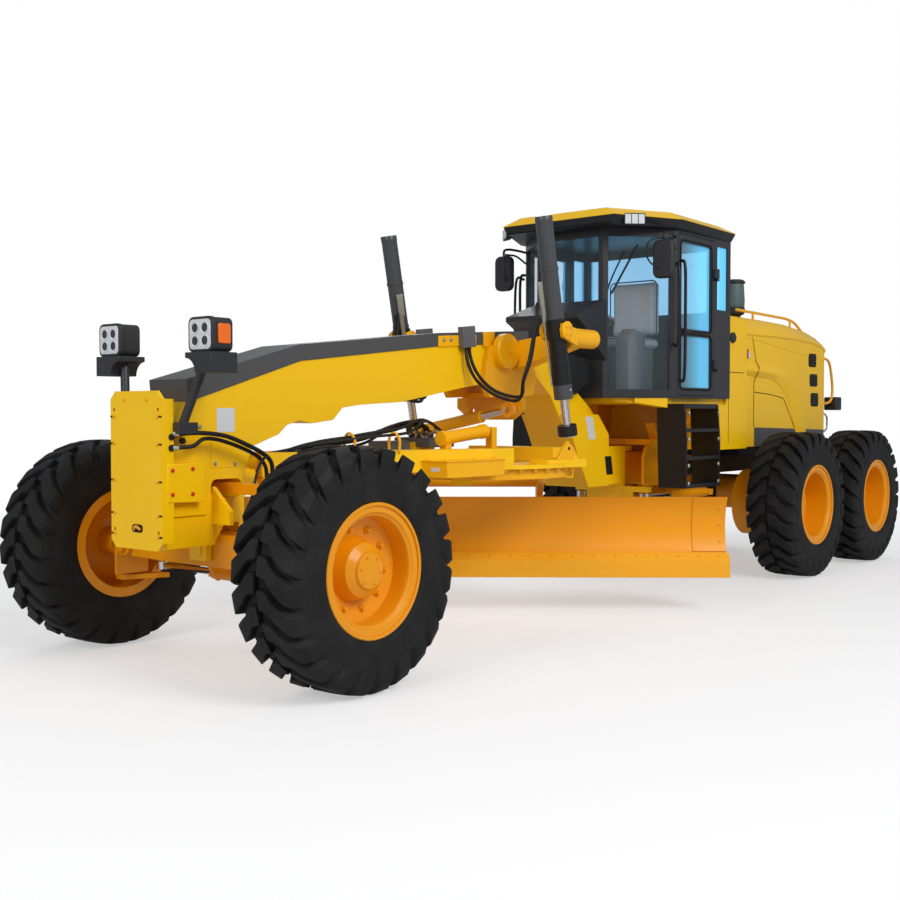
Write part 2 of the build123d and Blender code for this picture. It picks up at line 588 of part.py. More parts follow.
ARM_FRONT_X = BALL[0] - 60
with BuildPart() as drawbar:
    # The round plate over the circle and its squared front corners
    with BuildSketch(Plane.XY.offset(PLATE_Z)) as plate:
        with Locations((CIRCLE_X, 0)):
            Circle(CIRCLE_R + 45)
        with BuildLine():
            Polyline(*mirrored([(2250, 560), (1800, 700), (1500, CIRCLE_R - 60)]), close=True)
        make_face()
        with Locations((CIRCLE_X, 0)):
            Circle(470, mode=Mode.SUBTRACT)
    extrude(amount=30)
    # The A-frame
    for arm in both_sides(slab_z([(ARM_FRONT_X + 36, 68), (ARM_FRONT_X + 36, 112), (3200, 200),
                                  (2000, 690), (1750, 700), (1750, 560), (1950, 550), (3180, 62)],
                                 PLATE_Z, PLATE_Z + 150)):
        add(arm)
    add(block(2050, 2150, -600, 600, PLATE_Z, PLATE_Z + 130))
    add(bar((ARM_FRONT_X, -130, BALL[2]), (ARM_FRONT_X, 130, BALL[2]), 36 + FIT), mode=Mode.SUBTRACT)
    # Wings out to the lift balls, with a bracket and a ball on each
    for wing in both_sides(slab_z([(1480, 640), (1480, 800), (1060, 860), (960, 800), (1000, 560)],
                                  PLATE_Z, PLATE_Z + 60)):
        add(wing)
    for bracket in both_sides(slab_x([(LIFT_Y - 90, PLATE_Z + 50), (LIFT_Y + 90, PLATE_Z + 50),
                                      (LIFT_Y + 18, 1292), (LIFT_Y - 18, 1292)],
                                     LIFT_FOOT[0] - 22, LIFT_FOOT[0] + 22)):
        add(bracket)
    for stud in both_sides(bar((LIFT_FOOT[0], LIFT_Y, 1280), (LIFT_FOOT[0], LIFT_Y, STUD_TOP), 18)):
        add(stud)
    # Lug for the foot of the shift cylinder
    for x_low in (SHIFT_X - 72, SHIFT_X + 54):
        add(slab_x([(SHIFT_FOOT_Y - 80, PLATE_Z + 20), (SHIFT_FOOT_Y + 80, PLATE_Z + 20),
                    (SHIFT_FOOT_Y + 40, SHIFT_FOOT_Z + 40), (SHIFT_FOOT_Y - 40, SHIFT_FOOT_Z + 40)], x_low,
                   x_low + 18))
    add(bar((SHIFT_X - 68, SHIFT_FOOT_Y, SHIFT_FOOT_Z), (SHIFT_X + 68, SHIFT_FOOT_Y, SHIFT_FOOT_Z), 26))
    # Rear cross box and the motor that turns the circle
    add(block(700, 860, -420, 420, PLATE_Z, PLATE_Z + 130))
    add(bar((1960, 0, PLATE_Z), (1960, 0, PLATE_Z + 190), 110))
    # Shoes that hold the circle's rim from below
    for angle in (35, 145, 215, 325):
        shoe = block(CIRCLE_R + 5, CIRCLE_R + 40, -70, 70, CIRCLE_Z - 34, PLATE_Z + 5)
        lip = block(CIRCLE_R - 35, CIRCLE_R + 20, -70, 70, CIRCLE_Z - 34, CIRCLE_Z - FIT)
        for piece in (shoe, lip):
            add(piece.rotate(Axis.Z, angle).translate((CIRCLE_X, 0, 0)))
save(drawbar, "drawbar")

# Circle and blade
# These are drawn square to the machine about the circle's centre, the blade along Y with its
# hollow face forward, and then turned to the blade's parked angle.


def turned(part):
    """Turns a piece drawn about the circle's centre to its parked place."""
    return part.rotate(Axis.Z, BLADE_ANGLE).translate((CIRCLE_X, 0, 0))


TOOTH_COUNT = 48
with BuildPart() as circle:
    with BuildSketch(Plane.XY.offset(CIRCLE_Z)) as ring:
        Circle(CIRCLE_R)
        Circle(CIRCLE_IN_R, mode=Mode.SUBTRACT)
        with PolarLocations(CIRCLE_IN_R, TOOTH_COUNT):
            Rectangle(44, 40, mode=Mode.SUBTRACT)
    extrude(amount=CIRCLE_T)
    # Side arms down to the blade's pivots, and a tube that ties them
    for arm in both_sides(slab_y([(-420, CIRCLE_Z), (260, CIRCLE_Z), (-80, 975), (-250, 880), (-285, 640),
                                  (TIP_X + 32, TIP_Z + 20), (TIP_X + 25, TIP_Z - 45),
                                  (TIP_X - 35, TIP_Z - 50),
                                  (TIP_X - 60, TIP_Z + 20), (-410, 800)], ARM_Y - 25, ARM_Y + 25)):
        add(arm)
    add(bar((-340, -ARM_Y, 985), (-340, ARM_Y, 985), 50))
    for pin in both_sides(bar((TIP_X, ARM_Y - 70, TIP_Z), (TIP_X, ARM_Y + 70, TIP_Z), 26)):
        add(pin)
circle_part = circle.part
with BuildPart() as circle:
    add(turned(circle_part))
save(circle, "circle")

RAIL_X = (BLADE_SET - 92, BLADE_SET - 62)
RAILS = (
    # low, high, depth into the plate
    (470, 520, BLADE_SET),
    (720, 770, BLADE_SET - 25),
)
FOOT_Z = BLADE_BOTTOM + 120


def blade_section():
    """The hollow section of the blade, an arc of plate with a straight foot."""
    with BuildSketch(Plane.XZ) as section:
        with BuildLine():
            Line((BLADE_SET + 84, FOOT_Z), (BLADE_SET + 66, FOOT_Z))
            ThreePointArc((BLADE_SET + 66, FOOT_Z), (BLADE_SET - 46, 640), (BLADE_SET + 40, BLADE_TOP))
            Line((BLADE_SET + 40, BLADE_TOP), (BLADE_SET + 62, BLADE_TOP))
            ThreePointArc((BLADE_SET + 62, BLADE_TOP), (BLADE_SET - 22, 640), (BLADE_SET + 84, FOOT_Z))
        make_face()
    return section.sketch


half_blade = BLADE_LENGTH / 2
with BuildPart() as moldboard:
    extrude(blade_section(), amount=half_blade - 12, both=True)
    for rail_low, rail_high, depth in RAILS:
        add(slab_y([(RAIL_X[0], rail_low), (RAIL_X[1], rail_low), (depth, rail_low + 15),
                    (depth, rail_high - 15),
                    (RAIL_X[1], rail_high), (RAIL_X[0], rail_high)], -1450, 1450))
    moldboard_part = moldboard.part
with BuildPart() as moldboard:
    add(turned(moldboard_part))
save(moldboard, "moldboard")

with BuildPart() as cutting_edge:
    add(slab_y([(BLADE_SET + 84.4, FOOT_Z), (BLADE_SET + FACE_X, FOOT_Z + 50), (BLADE_SET + 56, FOOT_Z + 62),
                (BLADE_SET + 104, FOOT_Z + 8), (BLADE_SET + 123, BLADE_BOTTOM),
                (BLADE_SET + 105, BLADE_BOTTOM)],
               -half_blade, half_blade))
    cutting_part = cutting_edge.part
with BuildPart() as cutting_edge:
    add(turned(cutting_part))
save(cutting_edge, "cutting_edge")

# The tip bracket: pairs of jaws that grip the blade's rails, tied by a tube
JAW = 0.5
with BuildPart() as tip_bracket:
    jaw_outline = [(TIP_X - 35, TIP_Z + 40), (TIP_X - 35, TIP_Z - 40), (TIP_X + 40, TIP_Z - 50),
                   (RAIL_X[1] + 20, 440), (RAIL_X[1] + 20, 470 - JAW), (RAIL_X[0] - JAW, 470 - JAW),
                   (RAIL_X[0] - JAW, 770 + JAW), (RAIL_X[1] + 20, 770 + JAW), (RAIL_X[1] + 20, 800),
                   (RAIL_X[0] - 30, 810), (RAIL_X[0] - 50, 700), (RAIL_X[0] - 50, 560)]
    for y_mid in (ARM_Y - 50, ARM_Y + 50):
        for jaw in both_sides(slab_y(jaw_outline, y_mid - 18, y_mid + 18)):
            add(jaw)
    for hole in both_sides(bar((TIP_X, ARM_Y - 80, TIP_Z), (TIP_X, ARM_Y + 80, TIP_Z), 26 + FIT)):
        add(hole, mode=Mode.SUBTRACT)
    for web in both_sides(block(RAIL_X[0] - 40, RAIL_X[0] - 10, ARM_Y - 60, ARM_Y + 60, 590, 700)):
        add(web)
    add(bar((RAIL_X[0] - 35, -ARM_Y, 640), (RAIL_X[0] - 35, ARM_Y, 640), 30))
tip_part = tip_bracket.part
with BuildPart() as tip_bracket:
    add(turned(tip_part))
save(tip_bracket, "tip_bracket")

# Hitch box, on the rear frame
with BuildPart() as hitch_box:
    for side_plate in both_sides(slab_y([(-1250, 885), (-620, 885), (-560, 900), (-560, 1130), (-600, 1220),
                                         (-700, 1270), (-1250, 1270)],
                                        380, 410)):
        add(side_plate)
    add(block(-1250, -1110, -410, 410, 860, 1270))
    add(slab_z([(-1250, -410), (-700, -410), (-700, 410), (-1250, 410)], 1240, 1290))
    with BuildSketch(Plane.XY.offset(880)) as tongue:
        with BuildLine():
            Polyline((-1120, 105), (HITCH_X, 105))
            ThreePointArc((HITCH_X, 105), (HITCH_X + 105, 0), (HITCH_X, -105))
            Polyline((HITCH_X, -105), (-1120, -105), (-1120, 105))
        make_face()
        with Locations((HITCH_X, 0)):
            Circle(HITCH_PIN_R + FIT, mode=Mode.SUBTRACT)
    extrude(amount=290)
    for mount in both_sides(slab_x([(430, 1285), (600, CAB_DECK_Z - FIT), (300, CAB_DECK_Z - FIT),
                                    (330, 1285)], -1180, -930)):
        add(mount)
save(hitch_box, "hitch_box")

# Chassis
TOW_BORE_R = 26
TAIL_X = -FRONT_AXLE_X - AXLE_Z
TOW_X = TAIL_X + 38
ARTIC_REAR_X = -1700
ARTIC_REAR_Y = 440
with BuildPart() as chassis:
    for rail in both_sides(slab_y([(-1250 - FIT, 950), (-1250 - FIT, 1190), (REAR_X + 120, 1190),
                                   (REAR_X + 120, 1010),
                                   (-3300, 950)], 300, 400)):
        add(rail)
    for x_low in (-1500, -2300, -3500):
        add(block(x_low, x_low + 120, -310, 310, 980, 1190))
    add(block(REAR_X, REAR_X + 150, -640, 640, 950, 1190))
    add(block(REAR_X - 20, REAR_X + 20, -90, 90, 800, 960))
    for z_low in (800, 900):
        add(block(TAIL_X, REAR_X, -90, 90, z_low, z_low + 35))
    add(bar((TOW_X, 0, 780), (TOW_X, 0, 949), TOW_BORE_R), mode=Mode.SUBTRACT)
    # Brackets for the rear eyes of the articulation cylinders, each with its pin
    for bracket in both_sides(slab_y([(ARTIC_REAR_X - 70, 960), (ARTIC_REAR_X - 70, 720),
                                      (ARTIC_REAR_X - 50, 720),
                                      (ARTIC_REAR_X - 50, 960)], 360, 490)):
        add(bracket)
    for z_low in (ARTIC_Z - 28 - 7 - 20, ARTIC_Z + 28 + 7):
        for shelf in both_sides(block(ARTIC_REAR_X - 60, ARTIC_REAR_X + 30, 390, 490, z_low, z_low + 20)):
            add(shelf)
    for pin in both_sides(bar((ARTIC_REAR_X, ARTIC_REAR_Y, ARTIC_Z - 50),
                              (ARTIC_REAR_X, ARTIC_REAR_Y, ARTIC_Z + 50), 24)):
        add(pin)
    # Hinge brackets of the hood
    for bracket in both_sides(slab_y([(HOOD_HINGE[0] - 40, 1180), (HOOD_HINGE[0] + 22, 1180),
                                      (HOOD_HINGE[0] + 18, HOOD_HINGE[1] + 16),
                                      (HOOD_HINGE[0] - 18, HOOD_HINGE[1] + 16)], 330, 358)):
        add(bracket)
    for pin in both_sides(bar((HOOD_HINGE[0], 335, HOOD_HINGE[1]), (HOOD_HINGE[0], 396, HOOD_HINGE[1]), 12)):
        add(pin)
    for body_mount in both_sides(block(-4000, -1900, 390, 640, 1120, 1190)):
        add(body_mount)
save(chassis, "chassis")

with BuildPart() as engine:
    add(block(-3500, -2150, -290, 290, 1190 + FIT, 2050))
save(engine, "engine")

# Tandem drive: the axle housing and the two chain cases
CASE_Y = (TRACK / 2 - 510, TRACK / 2 - 260)
CASE_R = 310
with BuildPart() as tandem_drive:
    rear_x = TANDEM_FRONT_X - TANDEM_PITCH
    centre_x = (TANDEM_FRONT_X + rear_x) / 2
    add(bar((centre_x, -CASE_Y[0] - 20, AXLE_Z + 40), (centre_x, CASE_Y[0] + 20, AXLE_Z + 40), 175))
    for side in (1, -1):
        with BuildSketch(Plane.XZ.offset(-max(side * CASE_Y[0], side * CASE_Y[1]))) as case_outline:
            with BuildLine():
                Line((TANDEM_FRONT_X, AXLE_Z - CASE_R), (rear_x, AXLE_Z - CASE_R))
                ThreePointArc((rear_x, AXLE_Z - CASE_R), (rear_x - CASE_R, AXLE_Z), (rear_x, AXLE_Z + CASE_R))
                Line((rear_x, AXLE_Z + CASE_R), (TANDEM_FRONT_X, AXLE_Z + CASE_R))
                ThreePointArc((TANDEM_FRONT_X, AXLE_Z + CASE_R), (TANDEM_FRONT_X + CASE_R, AXLE_Z),
                              (TANDEM_FRONT_X, AXLE_Z - CASE_R))
            make_face()
        extrude(amount=CASE_Y[1] - CASE_Y[0])
        for wheel_x in (TANDEM_FRONT_X, rear_x):
            hub_face = TRACK / 2 + DRIVEN_DISC_Y - 60
            add(bar((wheel_x, side * (CASE_Y[1] - 5), AXLE_Z), (wheel_x, side * (hub_face - 1), AXLE_Z), 110))
            add(bar((wheel_x, side * (CASE_Y[1] - 5), AXLE_Z), (wheel_x, side * (hub_face + 70), AXLE_Z),
                    HUB_BORE_R))
    for saddle in both_sides(block(centre_x - 180, centre_x + 180, 290, 410, AXLE_Z + 150, 950 - FIT)):
        add(saddle)
save(tandem_drive, "tandem_drive")

# Articulation cylinders: each barrel on the rear frame, each rod at the front frame's ears
ARTIC_FRONT = (*ARTIC_EYE, ARTIC_Z)
ARTIC_REAR = (ARTIC_REAR_X, ARTIC_REAR_Y, ARTIC_Z)
artic_axis = (Vector(*ARTIC_FRONT) - Vector(*ARTIC_REAR)).normalized()


def artic_point(distance):
    """A place on the left cylinder, measured forward from its rear eye."""
    return Vector(*ARTIC_REAR) + artic_axis * distance


ARTIC_LENGTH = (Vector(*ARTIC_FRONT) - Vector(*ARTIC_REAR)).length


EYE_HALF_T = 28


def artic_barrel():
    """The left barrel, with the eye on the rear frame's pin."""
    eye = ARTIC_REAR[:2]
    with BuildPart() as barrel:
        add(bar(artic_point(25), artic_point(60), 27))
        add(bar(artic_point(52), artic_point(620), 42))
        add(bar((*eye, ARTIC_Z - EYE_HALF_T), (*eye, ARTIC_Z + EYE_HALF_T), 45))
        add(bar(artic_point(110), artic_point(630), 26 + FIT), mode=Mode.SUBTRACT)
        add(bar((*eye, ARTIC_Z - 60), (*eye, ARTIC_Z + 60), 24 + FIT), mode=Mode.SUBTRACT)
    return barrel.part


def artic_rod():
    """The left rod, with the eye that lies between the front frame's ears."""
    eye = ARTIC_FRONT[:2]
    with BuildPart() as rod:
        add(bar(artic_point(340), artic_point(ARTIC_LENGTH - 30), 26))
        add(bar((*eye, ARTIC_Z - EYE_HALF_T), (*eye, ARTIC_Z + EYE_HALF_T), 45))
        add(bar((*eye, ARTIC_Z - 60), (*eye, ARTIC_Z + 60), 24), mode=Mode.SUBTRACT)
    return rod.part


for side_name, side in (("left", 1), ("right", -1)):
    for piece_name, make in (("artic_barrel", artic_barrel), ("artic_rod", artic_rod)):
        with BuildPart() as artic_piece:
            add(make() if side > 0 else other_side(make()))
        save(artic_piece, f"{piece_name}_{side_name}")

# Centre shift cylinder, from the drawbar's right side up to the lift saddle's link bar
SHIFT_LOW = (SHIFT_X, SHIFT_FOOT_Y, SHIFT_FOOT_Z)
SHIFT_HIGH = (SHIFT_X, SHIFT_HEAD_Y, SHIFT_HEAD_Z)
shift_axis = (Vector(*SHIFT_HIGH) - Vector(*SHIFT_LOW)).normalized()
SHIFT_LENGTH = (Vector(*SHIFT_HIGH) - Vector(*SHIFT_LOW)).length


def shift_point(distance):
    """A place on the centre shift cylinder, measured up from its foot."""
    return Vector(*SHIFT_LOW) + shift_axis * distance


with BuildPart() as shift_barrel:
    add(bar(shift_point(50), shift_point(620), 48))
    add(bar((SHIFT_LOW[0] - 40, SHIFT_LOW[1], SHIFT_LOW[2]),
            (SHIFT_LOW[0] + 40, SHIFT_LOW[1], SHIFT_LOW[2]), 58))
    add(bar((SHIFT_LOW[0] - 70, SHIFT_LOW[1], SHIFT_LOW[2]), (SHIFT_LOW[0] + 70, SHIFT_LOW[1], SHIFT_LOW[2]),
            26 + FIT), mode=Mode.SUBTRACT)
    add(bar(shift_point(100), shift_point(640), 26 + FIT), mode=Mode.SUBTRACT)
save(shift_barrel, "shift_barrel")

with BuildPart() as shift_rod:
    add(bar(shift_point(330), shift_point(SHIFT_LENGTH - 40), 26))
    add(bar((SHIFT_HIGH[0] - 25, SHIFT_HIGH[1], SHIFT_HIGH[2]),
            (SHIFT_HIGH[0] + 25, SHIFT_HIGH[1], SHIFT_HIGH[2]), 58))
    add(bar((SHIFT_HIGH[0] - 30, SHIFT_HIGH[1], SHIFT_HIGH[2]),
            (SHIFT_HIGH[0] + 30, SHIFT_HIGH[1], SHIFT_HIGH[2]), 26),
        mode=Mode.SUBTRACT)
save(shift_rod, "shift_rod")

# Cab
# The plan is a box whose front narrows to the middle of the windscreen.
CAB_PLAN = [(CAB_REAR_X, CAB_HALF_W), (CAB_CORNER_X, CAB_HALF_W), (CAB_FRONT_X, CAB_FRONT_Y)]


def cab_ring(inset, z_low, z_high):
    """The cab's plan, drawn in by a wall's thickness and raised between two heights."""
    with BuildSketch(Plane.XY.offset(z_low)) as plan:
        with BuildLine():
            Polyline(*mirrored(CAB_PLAN), close=True)
        make_face()
        if inset:
            offset(amount=-inset, kind=Kind.INTERSECTION)
    return extrude(plan.sketch, amount=z_high - z_low, mode=Mode.PRIVATE)


# Windows: each is cut through the wall that lies on the line from its first to its second corner
WINDOWS = (
    # first corner, second corner, low, high, left at the first corner, left at the second
    ((CAB_CORNER_X, CAB_HALF_W), (CAB_FRONT_X, CAB_FRONT_Y), 1720, 3000, 60, 45),
    ((CAB_FRONT_X, CAB_FRONT_Y), (CAB_FRONT_X, -CAB_FRONT_Y), 2460, 3000, 45, 45),
    ((CAB_FRONT_X, -CAB_FRONT_Y), (CAB_CORNER_X, -CAB_HALF_W), 1720, 3000, 45, 60),
    ((CAB_REAR_X, CAB_HALF_W), (DOOR_REAR_X - 40, CAB_HALF_W), 2440, 3000, 60, 20),
    ((DOOR_REAR_X - 40, -CAB_HALF_W), (CAB_REAR_X, -CAB_HALF_W), 2440, 3000, 20, 60),
    ((CAB_REAR_X, -CAB_HALF_W), (CAB_REAR_X, CAB_HALF_W), 2440, 3000, 90, 90),
)


def window_block(first, second, low, high, left_first, left_second, depth, grow):
    """A slab in the wall's plane that fills a window, set back into the wall by a depth."""
    first, second = Vector(*first), Vector(*second)
    along = (second - first).normalized()
    inward = Vector(along.Y, -along.X)
    start = first + along * (left_first - grow) + inward * depth[0]
    end = second - along * (left_second - grow) + inward * depth[0]
    thick = inward * (depth[1] - depth[0])
    corners = [start, end, end + thick, start + thick]
    return slab_z([(p.X, p.Y) for p in corners], low - grow, high + grow)


DOOR_BOTTOM = CAB_FLOOR_Z + 20
DOOR_TOP = 3040
with BuildPart() as cab_frame:
    add(cab_ring(0, CAB_FLOOR_Z, CAB_TOP_Z))
    add(cab_ring(CAB_WALL, CAB_FLOOR_Z + 50, CAB_TOP_Z + 10), mode=Mode.SUBTRACT)
    for window_row in WINDOWS:
        add(window_block(*window_row, (-5, CAB_WALL + 5), 0), mode=Mode.SUBTRACT)
    for doorway in both_sides(block(DOOR_REAR_X, DOOR_FRONT_X, CAB_HALF_W - CAB_WALL - 5, CAB_HALF_W + 5,
                                    DOOR_BOTTOM, DOOR_TOP)):
        add(doorway, mode=Mode.SUBTRACT)
    # The cowl in front of the lower windscreen wall, clear of the beam below it
    add(slab_y([(CAB_FRONT_X - 10, 2470), (430, 2330), (430, 2290), (330, 2240), (CAB_FRONT_X - 10, 1960)],
               -360, 360))
    # Hinge leaves for the doors, behind their rear edges
    for z_mid in (1950, 2750):
        for hinge_pin in both_sides(bar((DOOR_REAR_X - 22, CAB_HALF_W + 22, z_mid - 45),
                                        (DOOR_REAR_X - 22, CAB_HALF_W + 22, z_mid + 45), 10)):
            add(hinge_pin)
        for leaf in both_sides(block(DOOR_REAR_X - 60, DOOR_REAR_X - 16, CAB_HALF_W - 5, CAB_HALF_W + 22,
                                     z_mid - 60, z_mid - 45)):
            add(leaf)
save(cab_frame, "cab_frame")

GLASS_SET = (16, 22)
with BuildPart() as cab_glass:
    for window_row in WINDOWS:
        add(window_block(*window_row, GLASS_SET, -FIT))
save(cab_glass, "cab_glass")


def door():
    """The left door's frame, with an upper and a lower light and its hinge eyes."""
    with BuildPart() as leaf:
        add(block(DOOR_REAR_X + 5, DOOR_FRONT_X - 5, CAB_HALF_W - DOOR_T, CAB_HALF_W, DOOR_BOTTOM + 5,
                  DOOR_TOP - 5))
        for z_low, z_high in DOOR_LIGHTS:
            add(block(DOOR_REAR_X + 65, DOOR_FRONT_X - 55, CAB_HALF_W - DOOR_T - 5, CAB_HALF_W + 5, z_low,
                      z_high),
                mode=Mode.SUBTRACT)
        for z_mid in (1950, 2750):
            add(bar((DOOR_REAR_X - 22, CAB_HALF_W + 22, z_mid - 44),
                    (DOOR_REAR_X - 22, CAB_HALF_W + 22, z_mid + 40), 18))
            add(slab_z([(DOOR_REAR_X - 22, CAB_HALF_W + GAP), (DOOR_REAR_X + 8, CAB_HALF_W + GAP),
                        (DOOR_REAR_X + 8, CAB_HALF_W - 2), (DOOR_REAR_X + 34, CAB_HALF_W - 2),
                        (DOOR_REAR_X + 34, CAB_HALF_W + 32), (DOOR_REAR_X - 22, CAB_HALF_W + 32)],
                       z_mid - 40, z_mid + 36))
            add(bar((DOOR_REAR_X - 22, CAB_HALF_W + 22, z_mid - 60),
                    (DOOR_REAR_X - 22, CAB_HALF_W + 22, z_mid + 60),
                    10 + FIT), mode=Mode.SUBTRACT)
    return leaf.part


DOOR_LIGHTS = ((1740, 2180), (2240, 2970))


def door_glass():
    """The two panes of the left door."""
    with BuildPart() as panes:
        for z_low, z_high in DOOR_LIGHTS:
            add(block(DOOR_REAR_X + 65 + FIT, DOOR_FRONT_X - 55 - FIT, CAB_HALF_W - GLASS_SET[1],
                      CAB_HALF_W - GLASS_SET[0], z_low + FIT, z_high - FIT))
    return panes.part


for side_name, side in (("left", 1), ("right", -1)):
    for piece_name, make in (("door", door), ("door_glass", door_glass)):
        with BuildPart() as door_piece:
            add(make() if side > 0 else other_side(make()))
        save(door_piece, f"{piece_name}_{side_name}")

# The roof overhangs the windscreen, and its edge is bevelled
ROOF_PLAN = [(CAB_REAR_X - 10, 820), (-420, 850), (200, 560)]
with BuildPart() as roof:
    with BuildSketch(Plane.XY.offset(CAB_TOP_Z + FIT)) as roof_low:
        with BuildLine():
            Polyline(*mirrored([(x, y - 40) for x, y in ROOF_PLAN]), close=True)
        make_face()
    with BuildSketch(Plane.XY.offset(CAB_TOP_Z + 60)) as roof_mid:
        with BuildLine():
            Polyline(*mirrored(ROOF_PLAN), close=True)
        make_face()
    loft()
    with BuildSketch(Plane.XY.offset(CAB_TOP_Z + 60)) as roof_edge:
        with BuildLine():
            Polyline(*mirrored(ROOF_PLAN), close=True)
        make_face()
    with BuildSketch(Plane.XY.offset(CAB_TOP_Z + 130)) as roof_high:
        with BuildLine():
            Polyline(*mirrored([(x * 0.9 - 60, y - 130) for x, y in ROOF_PLAN]), close=True)
        make_face()
    loft(sections=[roof_edge.sketch, roof_high.sketch])
save(roof, "roof")

SEAT_X = -900
with BuildPart() as seat:
    with BuildSketch(Plane.XY.offset(2100)) as cushion:
        with Locations((SEAT_X, 0)):
            RectangleRounded(480, 500, 60)
    extrude(amount=110)
    with BuildSketch(Plane.XY.offset(2210 + FIT)) as back:
        with Locations((SEAT_X - 200, 0)):
            RectangleRounded(110, 480, 40)
    extrude(amount=560)
save(seat, "seat")

# Seat stand, steering column and wheel, and the two lever consoles
COLUMN_FOOT = (-180, 0, CAB_FLOOR_Z + 80)
COLUMN_TOP = (-330, 0, 2330)
with BuildPart() as controls:
    add(block(SEAT_X - 180, SEAT_X + 180, -190, 190, CAB_FLOOR_Z + 50, 2100 - FIT))
    add(bar(COLUMN_FOOT, COLUMN_TOP, 45))
    add(block(-240, -100, -110, 110, CAB_FLOOR_Z + 50, CAB_FLOOR_Z + 140))
    with BuildSketch(Plane(origin=COLUMN_TOP, z_dir=Vector(*COLUMN_TOP) - Vector(*COLUMN_FOOT))) as hub:
        Circle(210)
        Circle(182, mode=Mode.SUBTRACT)
        Rectangle(400, 34)
    extrude(amount=26)
    for console in both_sides(slab_y([(-560, CAB_FLOOR_Z + 50), (-330, CAB_FLOOR_Z + 50), (-330, 2150),
                                      (-430, 2250),
                                      (-620, 2200)], 260, 380)):
        add(console)
save(controls, "controls")

# Cab support and steps
with BuildPart() as ladder:
    for cheek_x in (-1010, -410):
        add(slab_x([(620, 1590), (880, 1590), (900, 1300), (900, 890), (640, 890), (620, 1500)],
                   cheek_x - 10, cheek_x + 10))
    for z_low in (890, 1125, 1360):
        add(block(-1010, -410, 700, 895, z_low, z_low + 30))
    add(block(-1010, -410, 620, 880, 1560, CAB_DECK_Z - FIT))
    ladder_part = ladder.part
with BuildPart() as ladder:
    for ladder_side in both_sides(ladder_part):
        add(ladder_side)
save(ladder, "ladder")

with BuildPart() as cab_floor:
    add(slab_z(mirrored([(CAB_REAR_X, CAB_HALF_W - 60), (-450, CAB_HALF_W - 60), (-195, 465), (-110, 370)]),
               CAB_DECK_Z, CAB_FLOOR_Z - FIT))
    # Tapered beams under the slanted front corners, clear of the swinging leg
    for beam_side in both_sides(slab_z([(-395, CAB_HALF_W - 55), (-200, 522), (-235, 480),
                                        (-395, CAB_HALF_W - 140)],
                                       1545, CAB_FLOOR_Z - FIT)):
        add(beam_side)
    add(slab_y([(-700, 1400), (-100, 1400), (-100, 1625), (-190, 1612), (-520, 1540), (-700, 1540)], -900,
               900),
        mode=Mode.SUBTRACT)
save(cab_floor, "cab_floor")

# Panels behind the cab, and the hood that tilts back over the engine
with BuildPart() as tank_cover:
    add(block(SPLIT_X + 6, CAB_REAR_X - 6, -740, 740, 1190 + FIT, 2400))
    add(block(CAB_REAR_X - 10, -1262, -740, 740, 1190 + FIT, CAB_DECK_Z - FIT))
    add(block(SPLIT_X + 0, CAB_REAR_X + 0, -500, 500, 1100, 2260), mode=Mode.SUBTRACT)
save(tank_cover, "tank_cover")


def hood_shell(inset, x_front, x_rear, bottom):
    """The hood's form, from its front section to its lower rear section."""
    sections = []
    for x, top, half in ((x_front, HOOD_TOP, HOOD_HALF_W), (x_rear, HOOD_TOP - 170, HOOD_HALF_W - 40)):
        points = [(half - inset, bottom), (half - inset, top - 150), (half - 90 - inset, top - inset)]
        sections.append(outline(Plane.YZ.offset(x), points + [(-y, z) for y, z in reversed(points)]))
    return loft(sections=sections, mode=Mode.PRIVATE)


with BuildPart() as hood:
    add(hood_shell(0, SPLIT_X, HOOD_REAR_X, HOOD_BOTTOM))
    add(hood_shell(HOOD_WALL, SPLIT_X + 10, HOOD_REAR_X + HOOD_WALL, HOOD_BOTTOM - 10), mode=Mode.SUBTRACT)
    for eye in both_sides(bar((HOOD_HINGE[0], 364, HOOD_HINGE[1]), (HOOD_HINGE[0], 392, HOOD_HINGE[1]), 24)):
        add(eye)
    for arm in both_sides(block(HOOD_HINGE[0], HOOD_REAR_X + 5, 364, 392, HOOD_HINGE[1] - 20,
                                HOOD_HINGE[1] + 20)):
        add(arm)
    for bore in both_sides(bar((HOOD_HINGE[0], 355, HOOD_HINGE[1]), (HOOD_HINGE[0], 400, HOOD_HINGE[1]),
                               12 + FIT)):
        add(bore, mode=Mode.SUBTRACT)
save(hood, "hood")

# Mirrors on their arms
with BuildPart() as mirrors:
    for head in both_sides(block(-300, -240, 1010, 1190, 2560, 2860)):
        add(head)
    for arm in both_sides(bar((-440, CAB_HALF_W + FIT, 2950), (-270, 1100, 2950), 14)):
        add(arm)
    for drop in both_sides(bar((-270, 1100, 2960), (-270, 1100, 2850), 14)):
        add(drop)
save(mirrors, "mirrors")
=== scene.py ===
# %% [markdown]
# # A motor grader, dressed for its portrait
# The machine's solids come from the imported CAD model: frame, cab, hood, blade and wheels. This script
# gives each of them its paint, rubber, glass or steel, and adds what is too fine for the solids, such as
# tread blocks, hoses, bolts, lamps and the seat's cloth. Everything is in metres, with +X forward,
# +Y to the machine's left and +Z up.

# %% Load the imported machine
from functools import partial, partialmethod

